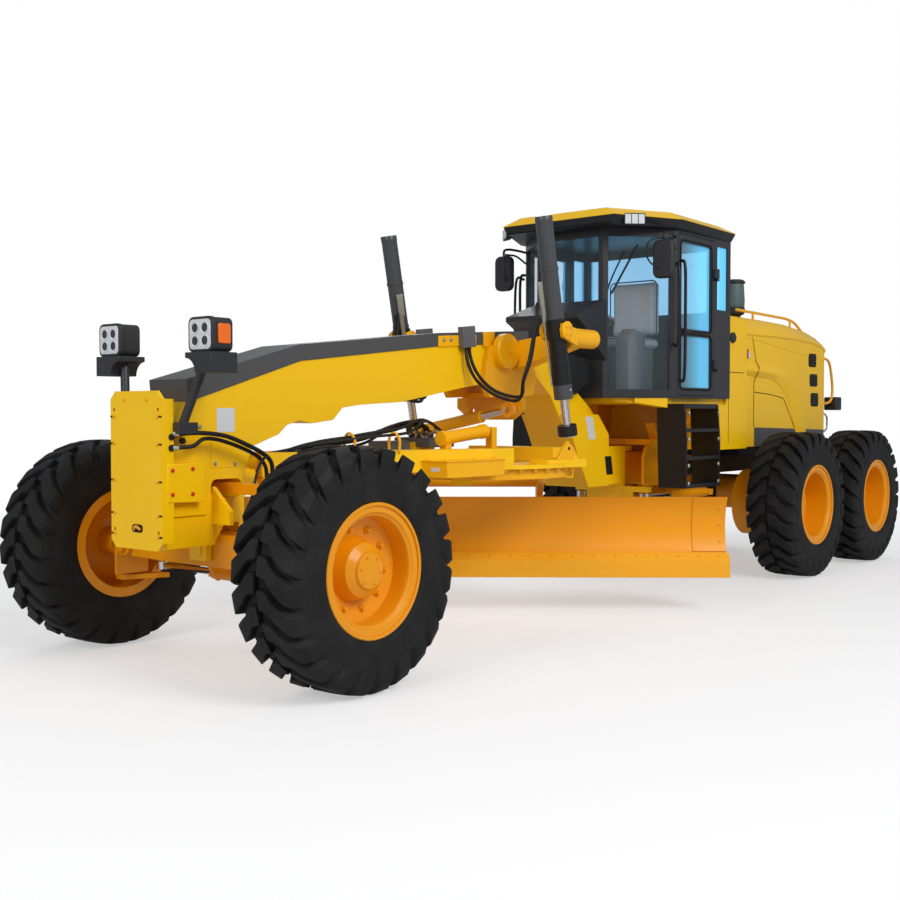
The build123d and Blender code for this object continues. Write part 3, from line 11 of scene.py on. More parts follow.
import bmesh
import bpy
import numpy as np
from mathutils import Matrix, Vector


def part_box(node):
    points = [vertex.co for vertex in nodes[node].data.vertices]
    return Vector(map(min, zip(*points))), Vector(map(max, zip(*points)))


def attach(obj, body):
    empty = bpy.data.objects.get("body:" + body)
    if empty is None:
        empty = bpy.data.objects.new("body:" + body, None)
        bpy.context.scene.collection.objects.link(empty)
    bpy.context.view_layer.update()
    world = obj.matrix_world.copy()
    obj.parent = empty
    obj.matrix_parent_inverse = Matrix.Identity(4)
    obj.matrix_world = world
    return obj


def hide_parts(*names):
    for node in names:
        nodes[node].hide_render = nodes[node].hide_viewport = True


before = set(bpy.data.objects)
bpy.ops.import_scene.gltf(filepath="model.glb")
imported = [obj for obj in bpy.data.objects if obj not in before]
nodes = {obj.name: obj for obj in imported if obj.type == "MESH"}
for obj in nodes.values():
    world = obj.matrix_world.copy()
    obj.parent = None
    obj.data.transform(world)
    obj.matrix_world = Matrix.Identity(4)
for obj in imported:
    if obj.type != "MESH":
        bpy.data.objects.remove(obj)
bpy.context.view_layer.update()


def linked(name, data):
    """A new object in the scene."""
    made = bpy.data.objects.new(name, data)
    bpy.context.scene.collection.objects.link(made)
    return made


# %% [markdown]
# ## The camera
# The photograph looks at the left front corner from a little above the wheels' height. A camera is placed
# by its position and the direction in which it looks. The direction comes from a heading and a small dip,
# because these two angles are what vanishing points in a photograph give.

# %% Camera
CAMERA_PLACE = np.array([8.462, 5.633, 1.517])
HEADING, DIP = np.radians(50.573), np.radians(1.765)
looking = Vector((-np.sin(HEADING) * np.cos(DIP), -np.cos(HEADING) * np.cos(DIP), -np.sin(DIP)))
camera_data = bpy.data.cameras.new("camera")
camera_data.lens = 47.216
camera_data.sensor_width = 36
camera = linked("camera", camera_data)
camera.location = CAMERA_PLACE
camera.rotation_euler = looking.to_track_quat("-Z", "Y").to_euler()
bpy.context.scene.camera = camera
print("camera looks along", [round(v, 3) for v in looking])

# %% [markdown]
# ## Light
# A soft studio is one broad lamp high on the viewer's side, a weaker one from the nose, another from behind,
# and an even pale world. The world is white to the camera, straight or through glass, which gives the white
# background without any more light on the paint.


# %% Lamps and world
def soft_lamp(name, place, target, size, power):
    """A square lamp at a place that faces a target."""
    data = bpy.data.lights.new(name, "AREA")
    data.size = size
    data.energy = power
    lamp = linked(name, data)
    lamp.location = place
    lamp.rotation_euler = (Vector(target) - Vector(place)).to_track_quat("-Z", "Y").to_euler()


WORLD_GREY, WORLD_WHITE = (0.36, 0.37, 0.39, 1), (1, 1, 1, 1)
soft_lamp("key", (4.0, 12.0, 9.0), (0.5, 0, 1.2), 6.0, 1120)
soft_lamp("nose", (13.0, 1.0, 6.0), (3.0, 0, 1.0), 4.0, 380)
soft_lamp("back", (-9.0, -9.0, 8.0), (-1.0, 0, 1.5), 6.0, 380)
world = bpy.data.worlds.new("studio")
bpy.context.scene.world = world
world.use_nodes = True
world_nodes, world_links = world.node_tree.nodes, world.node_tree.links
rays = world_nodes.new("ShaderNodeLightPath")
seen = world_nodes.new("ShaderNodeMath")
seen.operation = "MAXIMUM"
for entry, ray in zip(seen.inputs, ("Is Camera Ray", "Is Transmission Ray")):
    world_links.new(rays.outputs[ray], entry)
shade = world_nodes.new("ShaderNodeMix")
shade.data_type = "RGBA"
shade.inputs["A"].default_value = WORLD_GREY
shade.inputs["B"].default_value = WORLD_WHITE
world_links.new(seen.outputs[0], shade.inputs["Factor"])
world_links.new(shade.outputs["Result"], world_nodes["Background"].inputs["Color"])
bpy.context.scene.view_settings.view_transform = "Standard"

# %% [markdown]
# ## Shader sums written as Python
# A material is a network of small calculations. Wrapping a socket in a class with overloaded operators lets
# a sum such as `0.3 + 0.1 * noise` build its own Math nodes, so the network reads like the formula.


# %% Signals and finishes
# A Mix node keeps a set of sockets for each kind of value; these are the ones for colours
MIX_INPUTS, MIX_RESULT = (0, 6, 7), 2


class Signal:
    """A shader value that adds a Math node for each operator used on it."""

    def __init__(self, tree, socket):
        self.tree, self.socket = tree, socket

    def maths(self, operation, other, swap=False):
        node = self.tree.nodes.new("ShaderNodeMath")
        node.operation = operation
        for entry, value in zip(node.inputs, (other, self) if swap else (self, other)):
            feed(self.tree, entry, value)
        return Signal(self.tree, node.outputs[0])

    __add__ = __radd__ = partialmethod(maths, "ADD")
    __sub__ = partialmethod(maths, "SUBTRACT")
    __rsub__ = partialmethod(maths, "SUBTRACT", swap=True)
    __mul__ = __rmul__ = partialmethod(maths, "MULTIPLY")
    __truediv__ = partialmethod(maths, "DIVIDE")
    __pow__ = partialmethod(maths, "POWER")

    def ramp(self, low, high):
        """0 at low, 1 at high, straight between and held outside."""
        return ((self - low) / (high - low)).maths("MAXIMUM", 0).maths("MINIMUM", 1)


def feed(tree, entry, value):
    """Links a signal or a socket to a node's entry, or sets the entry to a fixed value."""
    if isinstance(value, Signal):
        value = value.socket
    if isinstance(value, bpy.types.NodeSocket):
        tree.links.new(value, entry)
    else:
        entry.default_value = value


class Finish:
    """A material with one Principled shader, and a method that adds any other node."""

    def __init__(self, name):
        self.material = bpy.data.materials.new(name)
        self.material.use_nodes = True
        self.tree = self.material.node_tree
        self.shader = self.tree.nodes["Principled BSDF"]

    def node(self, kind, settings=(), **inputs):
        node = self.tree.nodes.new("ShaderNode" + kind)
        for key, value in dict(settings).items():
            setattr(node, key, value)
        for key, value in inputs.items():
            feed(self.tree, node.inputs[key.replace("_", " ")], value)
        return node

    def place(self):
        return self.node("TexCoord").outputs["Object"]

    def along(self, axis):
        parts = self.node("SeparateXYZ", Vector=self.place())
        return Signal(self.tree, parts.outputs[axis])

    def noise(self, scale, detail=3.0, rough=0.5):
        node = self.node("TexNoise", Vector=self.place(), Scale=scale, Detail=detail, Roughness=rough)
        return Signal(self.tree, node.outputs["Fac"])

    def wave(self, direction, **inputs):
        kind = {"wave_type": "BANDS", "bands_direction": direction}
        return Signal(self.tree, self.node("TexWave", kind, Vector=self.place(), **inputs).outputs["Fac"])

    def mix(self, mask, first, second):
        node = self.node("Mix", {"data_type": "RGBA"})
        for index, value in zip(MIX_INPUTS, (mask, first, second)):
            feed(self.tree, node.inputs[index], value)
        return node.outputs[MIX_RESULT]

    def relief(self, height, strength, depth, edge=0.0):
        inputs = {"Height": height, "Strength": strength, "Distance": depth}
        if edge:
            inputs["Normal"] = self.node("Bevel", {"samples": 4}, Radius=edge).outputs["Normal"]
        self.set(Normal=self.node("Bump", **inputs).outputs["Normal"])

    def set(self, **inputs):
        for key, value in inputs.items():
            feed(self.tree, self.shader.inputs[key.replace("_", " ")], value)


def tint(red, green, blue):
    """A colour written as 0 to 255 screen values, turned to the linear values that shaders use."""
    screen = np.array([red, green, blue]) / 255
    linear = np.where(screen <= 0.04045, screen / 12.92, ((screen + 0.055) / 1.055) ** 2.4)
    return (*linear.tolist(), 1.0)


def grey(level):
    """A neutral colour by its linear level."""
    return (level, level, level, 1)


def shifted(colour, factor):
    """The same colour made darker or lighter by a factor."""
    return (*[min(1.0, v * factor) for v in colour[:3]], 1.0)


# %% [markdown]
# ## Paint
# The body paint is a gloss coat over steel plate. Sprayed paint is never quite even: it has a slow drift in
# its colour, a fine peel in its surface and a little dust near the ground. All of this is a few percent, so
# the piece still reads as clean new paint. The Bevel node rounds the look of the plate's edges without
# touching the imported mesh.


# %% Painted steel
DUST = tint(176, 160, 130)


def paint(name, colour, rough=0.36, coat=0.16, peel=0.05, edge=0.004, dust=0.08):
    """Gloss paint: base colour x (0.93 + 0.11 x slow noise), dusted below 0.75 m, with a fine peel."""
    made = Finish(name)
    slow, fine = made.noise(0.9), made.noise(38.0, 2.0)
    body = made.mix(slow, shifted(colour, 0.93), shifted(colour, 1.04))
    low = 1 - made.along("Z").ramp(0.05, 0.75)
    settled = low * fine.ramp(0.35, 0.8) * dust
    made.set(Base_Color=made.mix(settled, body, DUST), Roughness=rough + 0.1 * fine + 0.2 * settled)
    made.set(Coat_Weight=coat, Coat_Roughness=0.12, IOR=1.45, Specular_IOR_Level=0.35)
    made.relief(made.noise(240.0, 1.0), peel, 0.0008, edge)
    return made.material


finishes = {
    "yellow": paint("yellow_paint", tint(255, 199, 0)),
    # The next two are the one yellow paint darkened towards orange: painted shade, light on the first and
    # deep on the second.
    "warm": paint("warm_yellow_paint", tint(250, 180, 0)),
    "orange": paint("yellow_paint_painted_deep_shade", tint(238, 154, 0)),
    "dark": paint("dark_grey_paint", tint(78, 78, 79), rough=0.42, coat=0.1, dust=0.05),
    "frame": paint("cab_grey_paint", tint(46, 47, 50), rough=0.4, coat=0.15, dust=0.05),
    "black": paint("black_paint", tint(24, 24, 26), rough=0.38, coat=0.15, dust=0.06),
    "engine": paint("engine_grey_paint", tint(70, 72, 74), rough=0.55, coat=0.0, peel=0.2, dust=0.1),
    "plate": paint("blank_plate", tint(214, 216, 218), rough=0.4, coat=0.1, edge=0.0, dust=0.0),
    "red": paint("red_cap", tint(196, 44, 18), rough=0.45, coat=0.1, edge=0.0, dust=0.0),
}
print("paints", sorted(finishes))

# %% [markdown]
# ## Rubber, plastic, steel, glass and cloth
# Rubber is nearly black and rough, with a dull bloom where the tread's tops have been handled. Polished rods
# are bright and nearly smooth. The cab's panes are thin and slightly blue, so they are mostly see-through:
# an Alpha value does this more calmly than real refraction in panes only a few millimetres thick. Towards
# the back of the cab they take a painted sky reflection, a sky colour that also glows.


# %% Other finishes
def rubber(name, dark, pale, rough):
    """Rubber: a mix of two near-blacks by coarse and fine noise, with a fine grain."""
    made = Finish(name)
    coarse, grain = made.noise(6.0, 4.0), made.noise(120.0, 3.0)
    bloom = coarse.ramp(0.42, 0.72) * grain.ramp(0.3, 0.7)
    made.set(Base_Color=made.mix(bloom, dark, pale), Roughness=rough + 0.15 * grain, Specular_IOR_Level=0.3)
    made.relief(grain + 0.5 * coarse, 0.35, 0.0015)
    return made.material


def plastic(name, colour, rough=0.5):
    """Moulded plastic: a pebbled grain that also breaks up the gloss."""
    made = Finish(name)
    grain = made.noise(300.0, 2.0)
    made.set(Base_Color=made.mix(made.noise(5.0), shifted(colour, 0.85), shifted(colour, 1.12)),
             Roughness=rough + 0.12 * grain)
    made.relief(grain, 0.25, 0.0006, 0.003)
    return made.material


def metal(name, colour, rough, scratch):
    """Bare steel: metallic, with fine turning marks in its roughness."""
    made = Finish(name)
    marks = made.noise(90.0, 4.0, 0.6)
    made.set(Base_Color=made.mix(marks, shifted(colour, 0.9), shifted(colour, 1.05)), Metallic=1.0,
             Roughness=rough + scratch * marks)
    made.relief(marks, 0.05, 0.0005)
    return made.material


# Painted sky reflection: the back panes of the cab take this colour and glow with it.
PAINTED_SKY_REFLECTION = tint(112, 206, 246)


def pane(name, near, far, split):
    """Glass: a smooth thin solid. From the front to the back of the cab, between two places along X, its
    alpha goes from near to far and its tint from a grey film to a painted sky reflection: a sky colour with
    a slight painted glow."""
    made = Finish(name)
    back = made.along("X").ramp(*split)
    film = made.noise(2.2, 2.0)
    made.set(Base_Color=made.mix(back, tint(150, 168, 174), PAINTED_SKY_REFLECTION), Roughness=0.03 + 0.03 * film, IOR=1.5)
    made.set(Alpha=near + (far - near) * back + 0.03 * film)
    # The glow is a painted sky reflection on the back panes, not a lamp.
    made.set(Emission_Color=made.mix(back, grey(0), PAINTED_SKY_REFLECTION), Emission_Strength=0.55)
    return made.material


def lens(name, colour, glow):
    """A lamp lens: clear moulded plastic with ribs of about 5 mm."""
    made = Finish(name)
    ridge = made.wave("Y", Scale=60.0)
    made.set(Base_Color=made.mix(ridge, shifted(colour, 0.85), colour), Roughness=0.12 + 0.06 * ridge)
    made.set(Emission_Color=colour, Emission_Strength=glow, Coat_Weight=0.5)
    made.relief(ridge, 0.3, 0.001)
    return made.material


def cloth(name, colour):
    """Woven cloth: warp and weft as two crossed waves of 3 mm, each darkening its own gaps."""
    made = Finish(name)
    warp, weft = (made.wave(direction, Scale=110.0, Distortion=0.6) for direction in ("Y", "Z"))
    weave = 0.5 * (warp + weft)
    made.set(Base_Color=made.mix(weave, shifted(colour, 0.72), shifted(colour, 1.08)),
             Roughness=0.82 + 0.1 * weave)
    made.set(Sheen_Weight=0.25, Sheen_Roughness=0.4)
    made.relief(weave, 0.35, 0.001)
    return made.material


finishes.update({
    "tyre": rubber("tyre_rubber", tint(17, 17, 18), tint(40, 40, 41), 0.62),
    "hose": rubber("hose_rubber", tint(18, 18, 19), tint(38, 38, 40), 0.42),
    # Besides rubber seals, this near-black finish stands for painted shade in holes, slots and vents.
    "seal": rubber("seal_rubber", tint(14, 14, 15), tint(26, 26, 28), 0.6),
    "plastic": plastic("black_plastic", tint(36, 36, 39)),
    "grey_plastic": plastic("grey_plastic", tint(92, 93, 97)),
    "barrel": paint("barrel_grey_paint", tint(72, 73, 76), rough=0.34, coat=0.2, dust=0.0),
    "rod": metal("polished_rod", tint(225, 226, 230), 0.1, 0.1),
    "zinc": metal("plated_bolt", tint(190, 186, 170), 0.32, 0.15),
    # A darker copy of the one yellow paint for the cutting edge: painted shade, less deep than the blade's.
    "edge": paint("edge_yellow_painted_shade", tint(240, 166, 14), rough=0.36),
    # Both panes take a painted sky reflection towards the back of the cab.
    "glass": pane("glass_painted_sky_reflection", 0.05, 0.55, (-0.46, -0.6)),
    "door_glass": pane("door_glass", 0.22, 0.4, (-0.5, -0.9)),
    "lamp": lens("lamp_lens", tint(214, 217, 221), 0.05),
    "amber": lens("amber_lens", tint(240, 110, 10), 0.05),
    "tail": lens("tail_lens", tint(170, 20, 16), 0.1),
    "seat": cloth("seat_cloth", tint(206, 212, 216)),
    "console": plastic("console_plastic", tint(118, 122, 126)),
    "bowl": plastic("smoked_bowl", tint(84, 102, 104)),
})

# %% [markdown]
# ## Dressing the imported solids
# A solid whose shape is already right only needs its finish. The table below gives each finish the beginnings
# of its nodes' names, and the longest beginning that fits a node wins. The drawbar, hood and frame take the
# yellow paint. The machine has only this one paint, and two darker copies of it are painted shade: a light
# one for the circle, the lift's saddle and forks and other fittings, and a deep one for the blade, axles and
# rims.

# %% Finishes of the imported nodes
PAINTED = {
    "yellow": "front_frame hood tank_cover roof cab_floor drawbar",
    # The next two rows give darker copies of the one yellow paint, which are painted shade.
    "warm": "circle lift_saddle lift_fork shift_barrel drawbar_ball",
    "orange": "front_axle lean_ knuckle tip_bracket moldboard artic_barrel hitch_box tandem_drive rim_",
    "edge": "cutting_edge",
    "dark": "frame_cover",
    "frame": "cab_frame door_",
    "barrel": "lift_barrel",
    "black": "ladder chassis",
    "engine": "engine",
    "plastic": "mirrors headlamps",
    "console": "controls",
    "rod": "tie_rod lift_rod shift_rod artic_rod",
    "glass": "cab_glass",
    "door_glass": "door_glass",
    "tyre": "tyre_",
    "seat": "seat",
}
finish_by_start = {start: finish for finish, starts in PAINTED.items() for start in starts.split()}
for node_name, node in nodes.items():
    fits = max((start for start in finish_by_start if node_name.startswith(start)), key=len)
    slots = node.data.materials
    slots.clear()
    slots.append(finishes[finish_by_start[fits]])
print("dressed", len(nodes), "nodes in", len(PAINTED), "finishes")

# %% [markdown]
# ## Shapes from arrays
# Every added piece is a list of shapes that become one mesh, and a shape is a grid of points joined into
# quads. Three helpers make nearly all shapes: an outline carried straight (a plate), a profile turned about
# an axis (a bolt, a lamp, a cap), and a ring carried along a smooth path (a hose or a rail).


# %% Shape helpers
X, Y, Z = (1, 0, 0), (0, 1, 0), (0, 0, 1)
CORNER_STEPS = 6


def unit(vector):
    """A vector of length one."""
    vector = np.asarray(vector, float)
    return vector / np.linalg.norm(vector, axis=-1, keepdims=True)


def surface(points, loop_u=False, loop_v=False, caps=False):
    """A grid of (u, v, 3) points as quads. Either direction may close on itself, caps fill the ends of u."""
    rows, columns = points.shape[:2]
    index = np.arange(rows * columns).reshape(rows, columns)
    ends = [index[0].tolist()[::-1], index[-1].tolist()] if caps else []
    if loop_u:
        index = np.vstack([index, index[:1]])
    if loop_v:
        index = np.hstack([index, index[:, :1]])
    quads = np.stack([index[:-1, :-1], index[:-1, 1:], index[1:, 1:], index[1:, :-1]], axis=-1)
    return points.reshape(-1, 3), quads.reshape(-1, 4).tolist() + ends


def loft(rows):
    """Closed sections joined one after the other, with both ends filled."""
    return surface(np.array(rows), loop_v=True, caps=True)


def prism(outline, low, high, across="y"):
    """A flat outline carried straight along an axis, from low to high."""
    flat = np.array(outline, float)
    order = {"x": [2, 0, 1], "y": [0, 2, 1], "z": [0, 1, 2]}[across]
    rows = [np.column_stack([flat, np.full(len(flat), place)])[:, order] for place in (low, high)]
    return loft(rows)


def slab(low, high):
    """A block between two corners."""
    outline = [(low[0], low[1]), (high[0], low[1]), (high[0], high[1]), (low[0], high[1])]
    return prism(outline, low[2], high[2], "z")


def rounded_outline(centre, size, corner):
    """A rectangle whose corners are quarter circles: corner centre + corner x (cos, sin)."""
    turn = np.linspace(0, np.pi / 2, CORNER_STEPS)
    half = np.array(size) / 2 - corner
    quarters = [
        np.array(centre) + half * sign + corner * np.stack([np.cos(turn + start), np.sin(turn + start)], -1)
        for sign, start in (((1, 1), 0), ((-1, 1), np.pi / 2), ((-1, -1), np.pi), ((1, -1), 1.5 * np.pi))]
    return np.vstack(quarters)


def plate(centre, size, corner, low, high, across="y"):
    """A plate with rounded corners, from low to high across an axis."""
    return prism(rounded_outline(centre, size, corner), low, high, across)


def turned(profile, origin, direction, sides=20, ring=False):
    """(distance, radius) rows turned about an axis: origin + distance x axis + radius x circle."""
    profile, axis = np.array(profile, float), unit(direction)
    side = unit(np.cross(axis, Z if abs(axis[2]) < 0.9 else X))
    up = np.cross(axis, side)
    turn = np.linspace(0, 2 * np.pi, sides, endpoint=False)
    circle = np.cos(turn)[:, None] * side + np.sin(turn)[:, None] * up
    points = np.asarray(origin, float) + profile[:, :1, None] * axis + profile[:, 1:, None] * circle
    return surface(points, loop_u=ring, loop_v=True, caps=not ring)


def smooth_path(points, steps=8):
    """A Catmull-Rom curve through the points: a cubic between each two that leans on their neighbours."""
    p = np.array(points, float)
    p = np.vstack([2 * p[0] - p[1], p, 2 * p[-1] - p[-2]])
    t = np.linspace(0, 1, steps, endpoint=False)[:, None, None]
    a, b, c, d = p[:-3], p[1:-2], p[2:-1], p[3:]
    curve = 0.5 * (2 * b + (c - a) * t + (2 * a - 5 * b + 4 * c - d) * t**2 + (3 * b - a - 3 * c + d) * t**3)
    return np.vstack([curve.transpose(1, 0, 2).reshape(-1, p.shape[1]), p[-2]])


def tube(path, radius, reference=Y, sides=12):
    """A ring of a radius carried along a path; the reference direction keeps the ring from twisting."""
    path = np.asarray(path, float)
    along = unit(np.gradient(path, axis=0))
    side = unit(np.cross(along, reference))
    up = np.cross(side, along)
    turn = np.linspace(0, 2 * np.pi, sides, endpoint=False)[None, :, None]
    ring = np.cos(turn) * side[:, None] + np.sin(turn) * up[:, None]
    return loft(path[:, None] + radius * ring)


def bar(first, last, rings, radius, reference, sides=12):
    """A straight tube between two places, of a few rings."""
    return tube(np.linspace(first, last, rings), radius, reference, sides)


def rail(points, radius, reference=Y):
    """A bent tube through a few corners."""
    return tube(smooth_path(points, 6), radius, reference, 14)


def closed(path):
    """A path that ends where it starts."""
    return np.vstack([path, path[:1]])


def joined(shapes):
    """Several shapes as one: points stacked, faces renumbered."""
    starts = np.cumsum([0] + [len(points) for points, _ in shapes])
    faces = [[int(v) + int(start) for v in face] for (_, some), start in zip(shapes, starts) for face in some]
    return np.vstack([points for points, _ in shapes]), faces


def mirrored(shape):
    """The same shape on the machine's other side."""
    points, faces = shape
    return points * (1, -1, 1), [face[::-1] for face in faces]


def both(shapes):
    """Left hand shapes with their mirror images."""
    return shapes + [mirrored(shape) for shape in shapes]


def bolt(place, direction, radius, height):
    """A washer and a six-sided head."""
    washer = turned([(-0.002, radius * 1.45), (0.003, radius * 1.45)], place, direction, 12)
    head = turned([(0.002, radius), (height * 0.8, radius), (height, radius * 0.8)], place, direction, 6)
    return joined([washer, head])


def bolts(places, direction, radius, height):
    """A bolt at each place."""
    return [bolt(place, direction, radius, height) for place in places]


# %% [markdown]
# ## Pieces
# A piece is a mesh object that rides on a body of the machine and takes part in its joints. Its colour slot
# follows from its finish. Bodies that carry many pieces get a short function of their own.

# %% From shapes to pieces
BEVEL_ANGLE = 40


def piece(body, name, finish, shapes, slot=None, bevel=0.0, flat=False, replaces=(), crease=35):
    """Puts shapes into a mesh object, faces outward, with its finish, and lets it ride on a body."""
    points, faces = joined(shapes)
    mesh = bpy.data.meshes.new(name)
    mesh.from_pydata(points.tolist(), [], faces)
    build = bmesh.new()
    build.from_mesh(mesh)
    bmesh.ops.remove_doubles(build, verts=build.verts, dist=1e-6)
    bmesh.ops.recalc_face_normals(build, faces=build.faces)
    build.to_mesh(mesh)
    build.free()
    mesh.materials.append(finishes[finish])
    if not flat:
        mesh.shade_smooth()
        mesh.set_sharp_from_angle(angle=np.radians(crease))
    made = linked(name, mesh)
    if bevel:
        rounding = made.modifiers.new("rounding", "BEVEL")
        rounding.width, rounding.segments = bevel, 2
        rounding.limit_method, rounding.angle_limit = "ANGLE", np.radians(BEVEL_ANGLE)
    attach(made, body)
    if replaces:
        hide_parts(*replaces)
    return made


def pairs(*rows):
    """Pieces on the left bodies of pairs, then their mirror images on the right ones. A row is the beginning
    of the body's name, the beginning of the piece's name, its finish and shapes, and options as a dict."""
    for side in ("_left", "_right"):
        for body, name, finish, shapes, *options in rows:
            handed = shapes if side == "_left" else [mirrored(shape) for shape in shapes]
            piece(body + side, name + side, finish, handed, **dict(*options))


front, rear, hood, drawbar, blade = (
    partial(piece, body) for body in ("front_frame", "rear_frame", "hood", "drawbar", "blade"))

# %% [markdown]
# ## Tyres
# A grader's traction tyre has a smooth bulged side and two rows of tall slanted blocks that meet half a pitch
# apart in the middle. The side is one profile turned about the axle. Each block is a short lofted bar: eleven
# cross sections, from the middle of the tread over the shoulder and down the side, each a narrow top on
# a wider foot. One block's array is turned to all its places at once.

# %% Tyre shape
# Half width, carcass radius at that width, from the bead out and round to the middle of the tread
CARCASS = np.array([
    (0.15, 0.322), (0.175, 0.324), (0.196, 0.345), (0.205, 0.372), (0.2105, 0.379), (0.2115, 0.389),
    (0.2175, 0.4), (0.2205, 0.43), (0.222, 0.47), (0.2205, 0.505), (0.2165, 0.53), (0.2125, 0.545),
    (0.2125, 0.553), (0.207, 0.57), (0.195, 0.597), (0.172, 0.614), (0.15, 0.622), (0.11, 0.629),
    (0.06, 0.634), (0.0, 0.636),
])
# Place across, radius at the top, place and radius at the foot, turn in degrees, half width of the top
BLOCK = np.array([
    (0.01, 0.6722, 0.01, 0.618, 6.8, 0.044), (0.062, 0.6722, 0.062, 0.618, 6.0, 0.047),
    (0.078, 0.672, 0.078, 0.618, 5.0, 0.044), (0.112, 0.6715, 0.112, 0.616, 1.2, 0.044),
    (0.128, 0.671, 0.128, 0.612, 0.2, 0.047), (0.176, 0.667, 0.168, 0.6, -3.2, 0.05),
    (0.196, 0.661, 0.183, 0.59, -4.6, 0.05), (0.2175, 0.622, 0.202, 0.578, -6.4, 0.046),
    (0.2235, 0.585, 0.209, 0.556, -7.8, 0.042), (0.2225, 0.558, 0.2135, 0.54, -8.8, 0.036),
    (0.2185, 0.535, 0.216, 0.527, -9.4, 0.028),
])
BLOCKS_ROUND, SIDES_ROUND = 24, 120
# Corners of a block's section: foot, side, top edge, top edge, side, foot. Across in half widths, then height
SECTION_ACROSS = np.array([-1.18, -1.0, -0.93, 0.93, 1.0, 1.18])
SECTION_HEIGHT = np.array([0.0, 0.94, 1.0, 1.0, 0.94, 0.0])
BLOCK_WIDENING = 1.14


def about_axle(radius, across, angle):
    """Places by radius, angle and place across: x = r sin(angle), y = across, z = -r cos(angle)."""
    return np.stack(
        [radius * np.sin(angle), np.broadcast_to(across, angle.shape), -radius * np.cos(angle)], -1)


def tyre_shapes():
    """The carcass and both rows of blocks, about the Y axis."""
    profile = np.vstack([CARCASS, (CARCASS * (-1, 1))[::-1][1:]])[:, :, None]
    turn = np.linspace(0, 2 * np.pi, SIDES_ROUND, endpoint=False) + 0 * profile[:, 0]
    shapes = [surface(about_axle(profile[:, 1], profile[:, 0], turn), loop_u=True, loop_v=True)]
    top_y, top_r, foot_y, foot_r, shift, half = BLOCK.T[:, :, None]
    for side, start in ((1, 0.0), (-1, 180 / BLOCKS_ROUND)):
        places = np.radians(start + np.arange(BLOCKS_ROUND) * 360 / BLOCKS_ROUND)[:, None, None]
        across = side * (foot_y + (top_y - foot_y) * SECTION_HEIGHT)
        radius = foot_r + (top_r - foot_r) * SECTION_HEIGHT
        angle = places + np.radians(shift) + BLOCK_WIDENING * half * SECTION_ACROSS / radius
        shapes += [loft(block) for block in about_axle(radius, across, angle)]
    return shapes


TYRE = joined(tyre_shapes())
WHEELS = ("front_left", "front_right", "middle_left", "middle_right", "rear_left", "rear_right")
wheel_centres = {}
for wheel in WHEELS:
    low, high = (np.array(corner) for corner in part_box("rim_" + wheel))
    wheel_centres[wheel] = (low + high) / 2
    handed = TYRE if wheel.endswith("left") else mirrored(TYRE)
    placed = (handed[0] + wheel_centres[wheel], handed[1])
    piece("wheel_" + wheel, "tread_" + wheel, "tyre", [placed], replaces=["tyre_" + wheel], crease=16)
print("tyre points", len(TYRE[0]), "front left centre", wheel_centres["front_left"].round(3))

# %% [markdown]
# ## Wheel fittings
# Each rim is held by a ring of nuts and has two thin rings inside its lip. The front wheels, which only
# steer, have a flat round cap bolted over their bearings; on the driven wheels the nuts sit deeper.

# %% Nuts, caps and lock rings
NUT_CIRCLE = 0.225
# Profiles of the two rings, as distance along the axle and radius
LIP_RING = [(0.199, 0.352), (0.199, 0.368), (0.206, 0.371), (0.211, 0.366), (0.211, 0.354), (0.206, 0.35)]
DISH_RING = [(0.172, 0.3), (0.176, 0.316), (0.186, 0.322), (0.19, 0.316), (0.18, 0.298)]
# The nuts' depth, the profile of the hub's face, the circle of its bolts and their depth
STEERED = (0.056, [(0.096, 0.104), (0.162, 0.104), (0.17, 0.098), (0.172, 0.09), (0.172, 0.02)], 0.078, 0.172)
DRIVEN = (-0.045, [(-0.01, 0.128), (0.036, 0.124), (0.048, 0.112), (0.05, 0.02)], 0.092, 0.049)


def around(count, first, radius):
    """Places on a circle about Y: radius x (sin, 0, cos) at even turns from the first, in degrees."""
    turn = np.radians(np.arange(count) * 360 / count + first)
    return radius * np.stack([np.sin(turn), 0 * turn, np.cos(turn)], -1)


for wheel, centre in wheel_centres.items():
    out = np.array([0, 1 if wheel.endswith("left") else -1, 0.0])
    depth, hub, reach, height = STEERED if wheel.startswith("front") else DRIVEN
    shapes = bolts(centre + out * depth + around(10, 12, NUT_CIRCLE), out, 0.014, 0.02)
    shapes += [turned(profile, centre, out, 96, ring=True) for profile in (LIP_RING, DISH_RING)]
    shapes += [turned(hub, centre, out, 48)]
    shapes += bolts(centre + out * height + around(6, 20, reach), out, 0.007, 0.006)
    piece("wheel_" + wheel, "fittings_" + wheel, "orange", shapes)

# %% [markdown]
# ## Nose: plate bolts, hoses and plates
# The front plate is bolted on along its edges through slots. Two hoses leave fittings on the nose's left side
# and dive behind the front wheel. A small plate on the beam is blank.

# %% Nose details
NOSE, SIDE = 4.42, 0.24
rows = [(side, z) for side in (-1, 1) for z in (1.5, 1.345, 1.135, 0.945, 0.825)]
